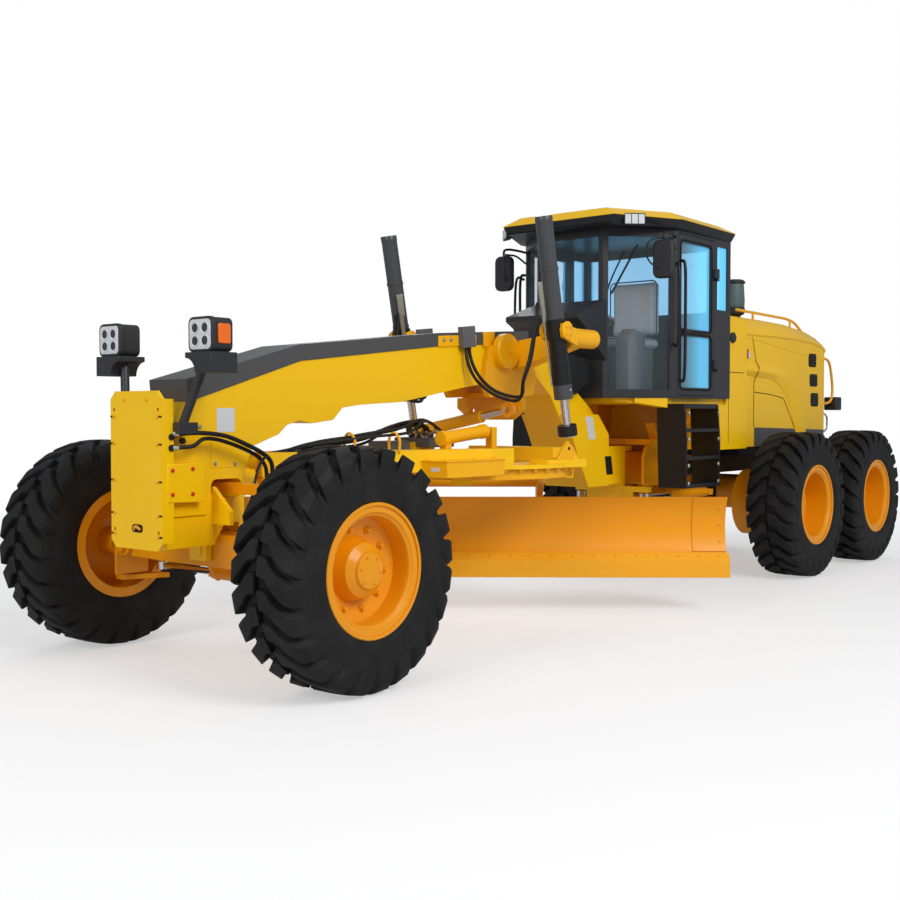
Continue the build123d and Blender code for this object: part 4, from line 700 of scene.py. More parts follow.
# Near-black slabs stand for the slots: painted shade in the holes.
front("plate_slots", "seal", [
    slab((NOSE - 0.001, side * 0.2175 - 0.022, z - 0.005), (NOSE + 0.0022, side * 0.2175 + 0.022, z + 0.005))
    for side, z in rows])
spots = [(side * 0.2015, z) for side, z in rows] + [(-0.104, 1.595), (0.104, 1.595)]
front("plate_bolts", "warm", bolts([(NOSE + 0.001, y, z) for y, z in spots], X, 0.008, 0.008))
front("nose_fittings", "seal", [turned([(-0.004, 0.018), (0.012, 0.018), (0.013, 0.012)], (x, SIDE, z), Y, 16)
                                for x, z in ((4.357, 1.387), (4.281, 1.363), (4.358, 1.325))])
NOSE_HOSES = (
    (0.0135, [(4.33, 0.262, 1.404), (4.202, 0.3, 1.408), (4.021, 0.3, 1.388), (3.871, 0.3, 1.339),
              (3.74, 0.3, 1.283), (3.661, 0.29, 1.227), (3.615, 0.25, 1.147), (3.6, 0.2, 1.09)]),
    (0.012, [(4.33, 0.262, 1.326), (4.238, 0.285, 1.335), (4.167, 0.285, 1.372), (4.05, 0.275, 1.366),
             (3.88, 0.27, 1.318), (3.75, 0.27, 1.262), (3.68, 0.26, 1.2), (3.64, 0.23, 1.12)]),
    (0.009, [(3.706, 0.3, 1.27), (3.8, 0.34, 1.205), (3.845, 0.35, 1.1), (3.863, 0.35, 1.03),
             (3.868, 0.345, 0.96)]),
)
front("nose_hoses", "hose", [tube(smooth_path(points), radius, (0, 1, 0.2)) for radius, points in NOSE_HOSES])
front("nose_hose_ends", "zinc",
      [bar((4.345, SIDE, z), (4.32, 0.268, z), 4, 0.016, Z) for z in (1.404, 1.326)])
front("nose_side_blocks", "yellow",
      both([prism([(4.385, 1.232), (4.125, 1.24), (4.125, 1.01), (4.385, 1.018)], 0.17, 0.2445)]),
      bevel=0.004)
front("red_caps", "red",
      both([turned([(-0.002, 0.012), (0.004, 0.012), (0.008, 0.007)], (x, 0.2445, z), Y, 16)
                               for x, z in ((4.352, 1.198), (4.212, 1.203), (4.353, 1.062), (4.213, 1.06))]))
# A near-black plate stands for the tow slot: painted shade in the hole.
front("tow_slot", "seal", [plate((0.01, 0.865), (0.1, 0.046), 0.02, NOSE - 0.001, NOSE + 0.0015, "x")])
hook = [(NOSE, -0.02, 0.858), (NOSE + 0.012, 0.0, 0.874), (NOSE + 0.012, 0.02, 0.874), (NOSE, 0.038, 0.858)]
front("tow_hook", "orange", [tube(smooth_path(hook), 0.008, X)])
front("blank_plate_beam", "plate", [slab((3.841, 0.1702, 1.408), (3.976, 0.1722, 1.55))], bevel=0.0008)
front("access_panel", "yellow", both([slab((3.811, 0.1701, 1.198), (4.022, 0.1738, 1.381))]), bevel=0.002)
spots = ((3.992, 1.222), (3.842, 1.217), (4.1, 1.44), (4.1, 1.22))
front("access_bolts", "zinc", both(bolts([(x, 0.1735, z) for x, z in spots], Y, 0.009, 0.008)))

# %% [markdown]
# ## Headlamps
# A pair of work lamps stands on posts over the nose. Each is a black square housing with rounded corners,
# four round reflectors behind a clear lens, an amber turn light on its outer side, and a dark bracket box
# with a curved undercut. The reflectors are shallow turned bowls, which catch light as real ones do.

# %% Headlamps
LAMP_Y, LAMP_Z, LAMP_FACE = 0.425, 1.955, 4.301
swell = np.linspace(0, np.pi / 2, 8)
undercut = [(LAMP_Y - 0.115 + 0.085 * np.sin(a), 1.742 + 0.085 * np.cos(a)) for a in swell]
outline = [(LAMP_Y - 0.115, 1.858)] + undercut + [(LAMP_Y + 0.112, 1.742), (LAMP_Y + 0.112, 1.858)]
front("lamp_stands", "frame", both([
    prism(outline, 4.127, 4.313, "x"),
    turned([(-0.002, 0.03), (0.003, 0.03), (0.004, 0.026)], (4.313, LAMP_Y + 0.025, 1.8), X, 24),
    bar((4.3, 0.262, 1.44), (4.225, 0.375, 1.8), 6, 0.026, X, 20),
    slab((4.215, 0.1705, 1.402), (4.345, 0.3, 1.468)),
    slab((4.165, LAMP_Y - 0.08, 1.852), (4.265, LAMP_Y + 0.08, 1.868))]), bevel=0.004, replaces=["headlamps"])
front("lamp_housings", "plastic", both([
    plate((LAMP_Y, LAMP_Z), (0.205, 0.19), 0.035, 4.15, 4.287, "x"),
    plate((LAMP_Y, LAMP_Z), (0.212, 0.197), 0.038, 4.265, 4.297, "x")]), bevel=0.006)
front("lamp_lenses", "lamp", both([plate((LAMP_Y, LAMP_Z), (0.18, 0.166), 0.026, 4.295, LAMP_FACE, "x")]),
      bevel=0.002)
BOWL = [(0.0, 0.036), (0.004, 0.036), (0.004, 0.03), (-0.004, 0.02), (-0.006, 0.006)]
front("lamp_reflectors", "plate", both([turned(BOWL, (LAMP_FACE, LAMP_Y + y, LAMP_Z + z), X, 28)
                                        for z in (0.036, -0.036) for y in (-0.042, 0.042)]), slot="rod")
front("turn_lights", "amber",
      both([plate((4.215, LAMP_Z + 0.004), (0.086, 0.11), 0.014, LAMP_Y + 0.095, LAMP_Y + 0.112)]),
      bevel=0.004)

# %% [markdown]
# ## Lift saddle, cylinders and their hoses
# Pressed steel covers, clamps and hoses give the lift cylinders their busy look. Each pair of hoses leaves
# a valve block on the beam, hangs in a U and rises to a clamp on the cylinder's barrel. They are held at both
# ends, so each is one smooth path with a fitting at each end.

# %% Saddle and cylinder details
LIFT_LOW, LIFT_HIGH = 1.42, 2.93


def on_lift(z, y=0.75, ahead=0.0):
    """A place by the height along the left lift cylinder, at a y and moved forward of its centre line."""
    share = (z - LIFT_LOW) / (LIFT_HIGH - LIFT_LOW)
    return np.array([1.16 + share * 0.31 + ahead, y, z])


lift_axis = unit(on_lift(LIFT_HIGH) - on_lift(LIFT_LOW))
front("saddle_caps", "warm", both([
    turned([(-0.06, 0.135), (-0.004, 0.135), (0.003, 0.127), (0.004, 0.03)], (1.23, 0.27, 1.99), Y, 48),
    bolt((1.23, 0.273, 1.99), Y, 0.018, 0.014)]))
trunnion = np.array([1.30371, 0.75, 2.12])
cap = np.array([(0.094, 0.066), (0.103, 0.066), (0.107, 0.06), (0.107, 0.02)])
BAND = [(-0.012, 0.0665), (0.012, 0.0665), (0.012, 0.06), (-0.012, 0.06)]
SLEEVES = ((2.13, [(-0.075, 0.064), (-0.065, 0.074), (0.065, 0.074), (0.075, 0.064)]),
           (2.1, [(-0.46, 0.0655), (-0.46, 0.068), (-0.02, 0.066), (-0.02, 0.0625)]))
BELL = [(-0.074, 0.056), (-0.074, 0.0715), (-0.04, 0.0735), (-0.006, 0.0722), (0.004, 0.0712),
        (0.0055, 0.066), (0.0055, 0.033)]
pipe = [on_lift(2.46, 0.7, 0.05), on_lift(2.3, 0.69, 0.052), on_lift(2.0, 0.69, 0.052),
        on_lift(1.72, 0.7, 0.058)]
pairs(
    ("lift_fork", "fork_caps", "warm",
     [turned(profile, trunnion, Y, 32) for profile in (cap, cap[::-1] * (-1, 1))]
     + bolts(trunnion + (0, 0.106, 0) + around(4, 45, 0.036), Y, 0.009, 0.008)),
    ("lift_barrel", "barrel_bands", "barrel",
     [turned(BAND, on_lift(z), lift_axis, 40, ring=True) for z in (2.56, 2.22, 1.66)]
     + [turned([(-0.045, 0.0635), (-0.004, 0.0655), (0.002, 0.062), (0.006, 0.03)],
               on_lift(2.93), lift_axis, 40)]),
    ("lift_barrel", "barrel_sleeves", "black",
     [turned(profile, on_lift(z), lift_axis, 40, ring=True) for z, profile in SLEEVES]),
    ("lift_barrel", "gland_bolts", "zinc", [bolt(on_lift(1.69, 0.816), Y, 0.01, 0.008)]),
    ("lift_barrel", "hose_blocks", "zinc",
     [bar(on_lift(2.3, 0.69, 0.035), on_lift(2.47, 0.69, 0.035), 4, 0.034, Y, 4),
      bar(on_lift(2.12, 0.69, 0.045), on_lift(2.32, 0.69, 0.045), 4, 0.022, Y, 4)],
     {"slot": "dark", "bevel": 0.003}),
    ("lift_barrel", "barrel_pipes", "rod", [tube(smooth_path(pipe), 0.008)]),
    ("lift_rod", "ball_bells", "black", [turned(BELL, on_lift(1.428), lift_axis, 36)]))
U_HOSES = (
    [(1.62, 0.2, 2.085), (1.64, 0.215, 1.949), (1.6, 0.26, 1.803), (1.5, 0.33, 1.69), (1.4, 0.45, 1.64),
     (1.46, 0.56, 1.665), (1.53, 0.62, 1.75), (1.5, 0.66, 1.9), (1.475, 0.675, 2.06), (1.445, 0.675, 2.2),
     (1.44, 0.68, 2.32)],
    [(1.66, 0.2, 2.085), (1.68, 0.215, 1.935), (1.64, 0.26, 1.78), (1.53, 0.34, 1.665), (1.43, 0.46, 1.612),
     (1.5, 0.58, 1.645), (1.56, 0.64, 1.75), (1.53, 0.67, 1.9), (1.5, 0.685, 2.06), (1.465, 0.69, 2.2),
     (1.46, 0.69, 2.3)],
)
front("lift_hoses", "hose", both([tube(smooth_path(points), 0.0125, (0.55, -0.84, 0)) for points in U_HOSES]))
front("valve_blocks", "grey_plastic",
      both([prism([(1.74, 2.15), (1.6, 2.165), (1.585, 2.01), (1.725, 1.995)], 0.178, 0.232)]), bevel=0.004)
front("cover_brackets", "warm", both([
    prism([(1.96, 2.075), (1.52, 2.105), (1.52, 2.025), (1.96, 1.995)], 0.1765, 0.1805),
    prism([(1.44, 2.13), (1.3, 2.14), (1.3, 2.02), (1.44, 2.02)], 0.1765, 0.186)]), bevel=0.002)
front("cover_bolts", "zinc",
      both(bolts([(1.9, 0.181, 2.05), (1.82, 0.181, 2.055), (1.57, 0.181, 2.07)], Y, 0.011, 0.009)))

# %% [markdown]
# ## Drawbar: hoses, bolts and boxes
# Hoses run along the drawbar from the nose to the valves over the circle. They lie in a loose bundle, so the
# paths start together, wander by a few centimetres and end at separate fittings. A seeded generator gives
# the same wander on each run.

# %% Drawbar details
CIRCLE_X = 1.385
STRANDS = 10
generator = np.random.default_rng(7)
trunk = np.array([(3.46, 0.05, 1.24), (3.2, 0.16, 1.31), (2.85, 0.26, 1.35), (2.55, 0.28, 1.41),
                  (2.3, 0.24, 1.45), (2.08, 0.14, 1.43), (1.92, 0.02, 1.38)])
opening = np.linspace(0.2, 1, len(trunk))[:, None]
bundle = []
for strand in range(STRANDS):
    wander = generator.normal(0, 1, trunk.shape) * (0.01, 0.035, 0.016)
    fan = opening * np.array([0.0, (strand - 4.5) * 0.027, 0.01 * (strand % 3)])
    bundle.append(tube(smooth_path(trunk + wander + fan), 0.01, (0, 0.2, 1)))
drawbar("drawbar_hoses", "hose", bundle)
drawbar("hose_fittings", "zinc", [
    turned([(-0.02, 0.015), (0.03, 0.015), (0.034, 0.01)],
           (1.93 + 0.03 * (k % 2), -0.1 + 0.03 * k, 1.355 + 0.012 * (k % 3)), (1, 0.2, 0.3), 6)
    for k in range(9)])
drawbar("turn_valve", "grey_plastic", [slab((1.78, -0.16, 1.275), (2.06, 0.18, 1.345)),
                                       slab((2.2, -0.1, 1.255), (2.4, 0.12, 1.325))], bevel=0.006)
turn = np.radians(np.arange(-62, 245, 8.5))
rim_spots = np.stack([CIRCLE_X + 0.812 * np.cos(turn), 0.812 * np.sin(turn), np.full(turn.shape, 1.124)], -1)
drawbar("plate_rim_bolts", "warm", bolts(rim_spots, (0, 0, -1), 0.015, 0.02))
BOX_PLAN = [(2.5, 0.44), (2.5, 0.71), (2.16, 0.745), (1.92, 0.745), (1.92, 0.6), (2.36, 0.44)]
lid_plan = [(x + (0.008 if x > 2.4 else 0), y + (0.008 if y > 0.6 else 0)) for x, y in BOX_PLAN]
drawbar("corner_boxes", "warm", both([prism(BOX_PLAN, 1.092, 1.2, "z"), prism(lid_plan, 1.196, 1.206, "z")]),
        bevel=0.004)
drawbar("corner_slots", "plate", both([plate((0.605, 1.146), (0.075, 0.026), 0.012, 2.499, 2.5015, "x")]))
spots = [(2.46, 0.5, 1.206), (2.46, 0.67, 1.206), (2.2, 0.7, 1.206), (1.98, 0.7, 1.206)]
drawbar("corner_bolts", "warm", both(bolts(spots, Z, 0.013, 0.012)))
ball_plate = [(1.375, 1.182), (1.095, 1.182), (1.185, 1.278), (1.215, 1.296), (1.255, 1.296), (1.285, 1.278)]
drawbar("ball_plates", "warm", both([prism(ball_plate, 0.8, 0.82)]), bevel=0.004)
# Near-black discs stand for the holes: painted shade.
drawbar("ball_plate_holes", "seal",
        both([turned([(-0.001, 0.013), (0.0015, 0.013), (0.002, 0.008)], (1.235, 0.82, 1.262), Y)]))
drawbar("side_cylinder", "warm", [
    bar((2.2, 0.42, 1.345), (1.72, 0.405, 1.39), 4, 0.046, Z, 28),
    bar((2.225, 0.421, 1.343), (2.17, 0.419, 1.348), 3, 0.053, Z, 28),
    bar((1.76, 0.406, 1.386), (1.71, 0.4045, 1.391), 3, 0.052, Z, 28),
    slab((2.14, 0.39, 1.27), (2.2, 0.45, 1.32)), slab((1.6, 0.375, 1.15), (1.66, 0.435, 1.42))], bevel=0.003)
drawbar("side_cylinder_rod", "rod", [bar((1.73, 0.405, 1.389), (1.63, 0.402, 1.398), 3, 0.022, Z, 20)])
HOOP = np.array([(0, 0, 1.26), (0, 0, 1.35), (0, 0.04, 1.39), (0, 0.09, 1.35), (0, 0.09, 1.26)])
drawbar("hose_hoops", "warm",
        [tube(smooth_path(HOOP + (x, y, 0)), 0.009, X, 10) for x, y in ((2.66, 0.34), (2.96, 0.22))])
EYE_BAND = [(-0.0256, 0.027), (-0.0256, 0.0588), (0.0256, 0.0588), (0.0256, 0.027)]
piece("shift_rod", "shift_eye_band", "orange", [turned(EYE_BAND, (1.26, 0.29, 1.545), X, 40, ring=True)])

# %% [markdown]
# ## Blade bolts and end plates
# The cutting edge is held by a row of flush bolts along the blade, and each end has a bolted wear plate. Both
# are placed in the blade's own directions, which are turned to its parked angle about the circle's centre.

# %% Blade details
BLADE_TURN = np.radians(38.6)
HALF_BLADE = 1.99
# Three places on the blade's hollow front, as depth and height
FACE = ((0.038, 0.39), (-0.068, 0.64), (0.016, 0.88))


def on_blade(points):
    """Turns (forward, along, up) places of the blade to the machine's frame."""
    points = np.asarray(points, float)
    ahead, along, up = points[..., 0], points[..., 1], points[..., 2]
    return np.stack([CIRCLE_X + ahead * np.cos(BLADE_TURN) - along * np.sin(BLADE_TURN),
                     ahead * np.sin(BLADE_TURN) + along * np.cos(BLADE_TURN), up], -1)


def blade_face(z):
    """Depth of the blade's hollow front at a height, on the circle through its three places."""
    (x1, z1), (x2, z2), (x3, z3) = FACE
    system = 2 * np.array([(x2 - x1, z2 - z1), (x3 - x1, z3 - z1)])
    middle = np.linalg.solve(system, [x2**2 + z2**2 - x1**2 - z1**2, x3**2 + z3**2 - x1**2 - z1**2])
    reach = np.hypot(x1 - middle[0], z1 - middle[1])
    return middle[0] - np.sqrt(reach**2 - (np.asarray(z) - middle[1]) ** 2)


zero = on_blade([0, 0, 0])
bolt_spots = on_blade(np.stack([np.full(25, 0.0305), np.linspace(-1.92, 1.92, 25), np.full(25, 0.431)], -1))
blade("edge_bolts", "orange", [
    turned([(-0.003, 0.011), (0.002, 0.011), (0.004, 0.007)], spot, on_blade([0.75, 0, 0.66]) - zero, 12)
    for spot in bolt_spots])
height = np.linspace(0.462, 0.872, 12)
end_plates = []
for low, high in ((-HALF_BLADE + 0.014, -HALF_BLADE + 0.27), (HALF_BLADE - 0.27, HALF_BLADE - 0.014)):
    rows = [np.column_stack([blade_face(height) + off, np.full(12, along), height])
            for off, along in ((-0.002, low), (0.009, low), (0.009, high), (-0.002, high))]
    end_plates.append(loft(on_blade(np.stack(rows, axis=1))))
blade("end_plates", "orange", end_plates, bevel=0.0015)
spots = [on_blade([blade_face(z) + 0.009, y, z]) for y in (-1.93, 1.93) for z in (0.53, 0.665, 0.8)]
blade("end_plate_bolts", "orange", bolts(spots, on_blade([1, 0, 0]) - zero, 0.009, 0.004))

# %% [markdown]
# ## Cab: seals, lamps, wiper and handles
# A cab reads as real through its small edges: a black seal round each pane of the doors, lamps under the
# roof's brow, a wiper on the windscreen, grab rails on the door posts and mirror heads on thin hoops.

# %% Cab details
lamp_boxes, lamp_faces = [], []
for side in (1, -1):
    turn = 0.75 * side
    ahead, across = np.array([np.cos(turn), np.sin(turn), 0]), np.array([-np.sin(turn), np.cos(turn), 0])
    wide, tall = np.array([(-1, -1, 1, 1), (-1, 1, 1, -1)])[:, :, None]
    corners = wide * across * 0.088 + tall * (0, 0, 0.048)
    centre = np.array([0.045, 0.66 * side, 3.102])
    box = [centre + corners * 0.8 - ahead * 0.06, centre + corners - ahead * 0.01, centre + corners]
    lamp_boxes.append(loft(box))
    for step in (-0.055, 0.0, 0.055):
        face = [centre + corners * (0.27, 0.27, 0.8) + across * step + ahead * depth
                for depth in (0.0005, 0.006)]
        lamp_faces.append(loft(face))
rear("roof_lamp_cases", "plastic", lamp_boxes, bevel=0.003)
rear("roof_lamp_lenses", "lamp", lamp_faces)
rear("wiper", "black",
     [rail([(-0.02, 0.335, 2.44), (-0.05, 0.37, 2.62), (-0.13, 0.46, 2.88)], 0.007, (0.7, 0.7, 0)),
      bar((-0.045, 0.385, 2.52), (-0.2, 0.545, 2.93), 8, 0.009, (0.7, 0.7, 0), 8)])
rear("grab_rails", "black", both([
    rail([(-0.462, 0.8, 1.8), (-0.455, 0.85, 1.84), (-0.455, 0.855, 2.4), (-0.455, 0.85, 2.76),
          (-0.462, 0.8, 2.8)], 0.013, X),
    rail([(-0.4, 0.768, 2.1), (-0.37, 0.84, 2.13), (-0.37, 0.84, 2.72), (-0.4, 0.765, 2.75)], 0.012, X)]))
seal_rings = []
for low, high in ((1.74, 2.18), (2.24, 2.97)):
    line = rounded_outline((-0.79, (low + high) / 2), (0.566, high - low + 0.036), 0.05)
    seal_rings.append(tube(closed(np.insert(line, 1, 0.7815, axis=1)), 0.007, Y, 8))
pairs(
    ("door", "door_seals", "seal", seal_rings),
    ("door", "door_handle", "black",
     [slab((-0.565, 0.779, 2.195), (-0.535, 0.792, 2.235)),
      rail([(-0.548, 0.79, 2.215), (-0.548, 0.815, 2.213), (-0.62, 0.815, 2.21)], 0.009, Z)],
     {"bevel": 0.002}))
rear("mirror_heads", "plastic", both([plate((0.815, 2.785), (0.185, 0.315), 0.055, -0.19, -0.13, "x")]),
     bevel=0.014, replaces=["mirrors"])
MIRROR_HOOPS = (
    (0.011, (0.5, -0.3, 0.6),
     [(-0.43, 0.775, 3.0), (-0.34, 0.8, 3.01), (-0.22, 0.815, 3.01), (-0.16, 0.82, 2.99),
      (-0.155, 0.82, 2.93)]),
    (0.009, (0.5, -0.3, 0.6), [(-0.43, 0.775, 2.9), (-0.3, 0.79, 2.955), (-0.16, 0.8, 2.955)]),
    (0.007, (0.3, -0.3, 0.9),
     [(-0.16, 0.8, 2.96), (-0.06, 0.74, 2.93), (-0.04, 0.72, 2.82), (-0.08, 0.75, 2.74), (-0.15, 0.8, 2.72)]),
)
rear("mirror_hoops", "black",
     both([rail(points, radius, reference) for radius, reference, points in MIRROR_HOOPS]))
rear("mirror_faces", "rod", both([plate((0.815, 2.785), (0.16, 0.285), 0.045, -0.1935, -0.189, "x")]))
roof_plan = np.array([(-1.45, 0.82), (-0.42, 0.85), (0.2, 0.56),
                      (0.2, -0.56), (-0.42, -0.85), (-1.45, -0.82)])
grow = np.array([(-1, 1), (0.1, 1), (1, 0.4), (1, -0.4), (0.1, -1), (-1, -1)]) * 0.004
trim_rows = []
for z, inset, scale in ((3.076, 0.04, 1), (3.134, 0.004, 1), (3.134, 0.004, -1), (3.076, 0.04, -1)):
    row = roof_plan + grow * scale - np.sign(roof_plan) * (0, inset)
    trim_rows.append(np.insert(row, 2, z, axis=1))
rear("roof_trim", "black", [surface(np.stack(trim_rows), loop_u=True, loop_v=True)])
rear("roof_lining", "black", [prism(roof_plan - np.sign(roof_plan) * (0.01, 0.036), 3.066, 3.0785, "z")])
rear("aerial_foot", "warm",
     [turned([(0.0, 0.012), (0.05, 0.012), (0.06, 0.006)], (-0.9, 0.45, 3.195), Z, 12)],
     slot="yellow")

# %% [markdown]
# ## Steps, bolts and the black boxes by the cab
# The steps hang from the cab floor on folded black plates held by bright bolts. A dark guard box covers hoses
# beside the leg, and two small plates on the leg are blank.

# %% Steps and guards
spots = [(x, 0.902, z) for x in (-0.98, -0.44) for z in (1.52, 1.3, 1.08, 0.93)]
rear("step_bolts", "zinc", both(bolts(spots, Y, 0.013, 0.01)))
rear("hitch_brackets", "orange",
     both([prism([(-0.7, 1.436), (-1.175, 1.43), (-1.05, 1.262), (-0.79, 1.275)], 0.33, 0.42)]), bevel=0.006)
guard = [(0.486, 2.016), (0.13, 1.985), (0.04, 1.8), (0.294, 1.671), (0.485, 1.79)]
front("hose_guard", "black", both([prism(guard, 0.175, 0.262)]), bevel=0.012)
for name, finish, outline in (
        ("blank_plate_leg", "plate", [(0.09, 1.49), (-0.02, 1.49), (-0.07, 1.3), (0.04, 1.3)]),
        ("dark_plate_leg", "seal", [(-0.215, 1.15), (-0.32, 1.15), (-0.35, 0.99), (-0.245, 0.99)])):
    front(name, finish, [prism(outline, 0.2202, 0.2222)], bevel=0.0008)

# %% [markdown]
# ## Hood: panel lines, vents, cap, rails and lamps
# The hood is one large form with a few cut lines. A thin dark strip just proud of the surface reads as
# a panel gap, because at this distance a gap is only its shadow. Handrails run along the roof's edges.

# %% Hood details
HOOD_FRONT, HOOD_REAR = -1.88, -3.98
RAIL_Y = 0.54


def hood_share(x):
    """How far back on the hood an x is, from 0 at the front to 1 at the rear."""
    return (x - HOOD_FRONT) / (HOOD_REAR - HOOD_FRONT)


def hood_side(x):
    """The hood's side: its half width falls from 0.680 at the front to 0.640 at the rear."""
    return 0.68 - 0.04 * hood_share(x)


def on_side(line, lift):
    """Places on the hood's side over a line of (x, z) rows, lifted off it."""
    return np.column_stack([line[:, 0], hood_side(line[:, 0]) + lift, line[:, 1]])


lines = ([(-2.165, 1.725), (-2.55, 1.705), (-2.88, 1.672)], [(-2.88, 1.672), (-3.0, 1.55), (-3.19, 1.345)],
         [(-2.165, 1.725), (-2.165, 1.55), (-2.165, 1.39)])
strips = []
for line in lines:
    strips += both([tube(on_side(smooth_path(line, 10), 0.0005), 0.004, Y, 4)])
hood("hood_lines", "seal", strips)
# Stations of the lid: x, height of its top and of its shoulder. The lid is wider and flatter than the shell
# under it. Its section is a bent plate: up the side, out over a shoulder, in along a slope and across the
# top, then back inside the shell's own wall.
LID = ((-1.886, 2.446, 2.29), (-2.6, 2.443, 2.3), (-3.15, 2.434, 2.3), (-3.6, 2.4, 2.285),
       (-3.88, 2.35, 2.25), (-3.978, 2.3, 2.205))


def lid_row(x, top, shoulder):
    """The lid's closed section at x: eight (y, z) corners on the left and their mirror on the right."""
    half, shell = float(hood_side(x)), 2.42 - 0.17 * hood_share(x)
    left = [(half - 0.105, shell - 0.016), (half - 0.014, shell - 0.164), (half + 0.003, shell - 0.172),
            (half + 0.003, shoulder - 0.034), (half + 0.016, shoulder - 0.022), (half + 0.016, shoulder),
            (half - 0.07, top - 0.022), (half - 0.125, top)]
    return [(x, y, z) for y, z in left + [(-y, z) for y, z in left[::-1]]]


hood("hood_lid", "yellow", [loft([lid_row(*station) for station in LID])], bevel=0.004)
swoosh = smooth_path([(-1.895, 1.94), (-2.3, 1.93), (-2.7, 1.905), (-2.96, 1.855), (-3.12, 1.765),
                      (-3.25, 1.6), (-3.36, 1.4), (-3.43, 1.215)])
forward = unit(np.gradient(swoosh, axis=0))
inward = np.column_stack([-forward[:, 1], forward[:, 0]])
spread = np.interp(swoosh[:, 0], [-3.25, -2.6], [0.19, 0.06])
BAND_ROWS = ((0.075, -0.004), (0.045, 0.012), (0.012, 0.03), (-0.012, 0.03), (-spread, 0.004),
             (-spread - 0.004, -0.004))
band = np.stack([on_side(swoosh - inward * np.reshape(out, (-1, 1)), lift) for out, lift in BAND_ROWS],
                axis=1)
hood("hood_swoosh", "yellow", both([loft(band)]), crease=20)
skirt = np.array([(-2.18, 1.204), (-2.18, 1.385), (-3.97, 1.345), (-3.97, 1.204)])
hood("hood_skirts", "dark", both([loft([on_side(skirt, lift) for lift in (-0.002, 0.005)])]), bevel=0.002)
split = smooth_path([(-2.12, 2.262), (-2.17, 2.14), (-2.2, 2.05), (-2.225, 1.97), (-2.19, 1.89),
                     (-2.165, 1.8), (-2.165, 1.73)], 6)
rise = np.interp(split[:, 1], [1.84, 1.9, 1.96, 2.02], [0.0, 0.028, 0.03, 0.0])
hood("hood_splits", "seal", both([tube(on_side(split, 0.0008 + rise), 0.004, Y, 4)]))
vents, louvres = [], []
for low, high, middle in ((2.01, 2.15, -3.635), (1.805, 1.935, -3.67), (1.595, 1.735, -3.7)):
    y = hood_side(middle)
    vents.append(plate((middle, (low + high) / 2), (0.2, high - low), 0.03, y - 0.006, y + 0.005))
    louvres += [slab((middle - 0.085, y + 0.003, z), (middle + 0.085, y + 0.008, z + 0.008))
                for z in np.arange(low + 0.025, high - 0.02, 0.028)]
# Near-black plates behind the bars stand for the vents' hollows: painted shade.
hood("hood_vents", "seal", both(vents))
hood("vent_bars", "black", both(louvres))
top_line = ((-2.06, 2.515), (-2.4, 2.51), (-2.9, 2.502), (-3.22, 2.494), (-3.42, 2.462), (-3.58, 2.392))
hood("hood_rails", "warm", both([
    rail([(x, RAIL_Y, z) for x, z in top_line], 0.014),
    rail([(-2.42, RAIL_Y, 2.51), (-2.42, RAIL_Y, 2.43)], 0.012, X),
    rail([(-3.3, RAIL_Y, 2.486), (-3.3, RAIL_Y, 2.41)], 0.012, X)]))
hood("rear_rails", "warm", both([rail([
    (-3.97, 0.58, 2.115), (-4.1, 0.6, 2.115), (-4.21, 0.6, 2.08), (-4.27, 0.6, 1.98), (-4.315, 0.6, 1.8),
    (-4.28, 0.6, 1.67), (-4.14, 0.6, 1.63), (-3.97, 0.58, 1.63)], 0.014)]))
hoop_line = ((-3.97, 1.515), (-4.09, 1.515), (-4.16, 1.48), (-4.17, 1.42), (-4.16, 1.36), (-4.09, 1.325),
             (-3.97, 1.325))
hood("step_hoops", "zinc", both([rail([(x, 0.6, z) for x, z in hoop_line], 0.01)]))
hood("tail_brackets", "black", both([slab((-4.32, 0.545, 1.615), (-3.975, 0.605, 1.64))]), bevel=0.004)
hood("tail_lamp_cases", "plastic", both([plate((-4.375, 1.628), (0.17, 0.145), 0.02, 0.515, 0.65)]),
     bevel=0.008)
hood("tail_lamps", "tail", both([slab((-4.468, 0.533, 1.572), (-4.457, 0.633, 1.684))]), bevel=0.003)
rear("tank_lines", "seal", both([slab((-1.5, 0.7395, 1.24), (-1.494, 0.7415, 2.28)),
                                 slab((-1.82, 0.7395, 1.894), (-1.5, 0.7415, 1.9))]))
rear("filler_cap", "plastic",
     both([turned([(-0.01, 0.048), (0.018, 0.048), (0.024, 0.04), (0.026, 0.01)],
                  (-1.562, 0.74, 2.213), Y, 32)]))
MARKER_Y = float(hood_side(-2.03))
for name, finish, centre, size, height in (
        ("marker_lights", "tail", (-2.01, 2.085), (0.034, 0.09), 0.009),
        ("marker_reflectors", "plate", (-2.048, 2.075), (0.036, 0.066), 0.007)):
    hood(name, finish, both([plate(centre, size, 0.01, MARKER_Y - 0.002, MARKER_Y + height)]), bevel=0.002)
slats = [slab((-3.998, -0.455, z), (-3.985, 0.455, z + 0.016)) for z in np.arange(1.595, 2.09, 0.036)]
hood("rear_grille", "black", [plate((0, 1.84), (0.98, 0.56), 0.05, -3.986, -3.979, "x")] + slats, bevel=0.003)
CLEANER = (-2.3, 0.4, 2.4)
foot, cover, bowl = (turned(profile, CLEANER, Z, 36) for profile in (
    [(0.0, 0.062), (0.075, 0.062), (0.095, 0.098), (0.15, 0.104), (0.158, 0.098)],
    [(0.385, 0.09), (0.392, 0.104), (0.412, 0.104), (0.428, 0.08), (0.434, 0.02)],
    [(0.15, 0.092), (0.17, 0.099), (0.23, 0.101), (0.375, 0.092), (0.395, 0.086)]))
hood("air_cleaner", "plastic", [foot, cover, slab((-2.46, 0.2, 2.4), (-2.16, 0.34, 2.52))], bevel=0.004)
hood("cleaner_bowl", "bowl", [bowl])

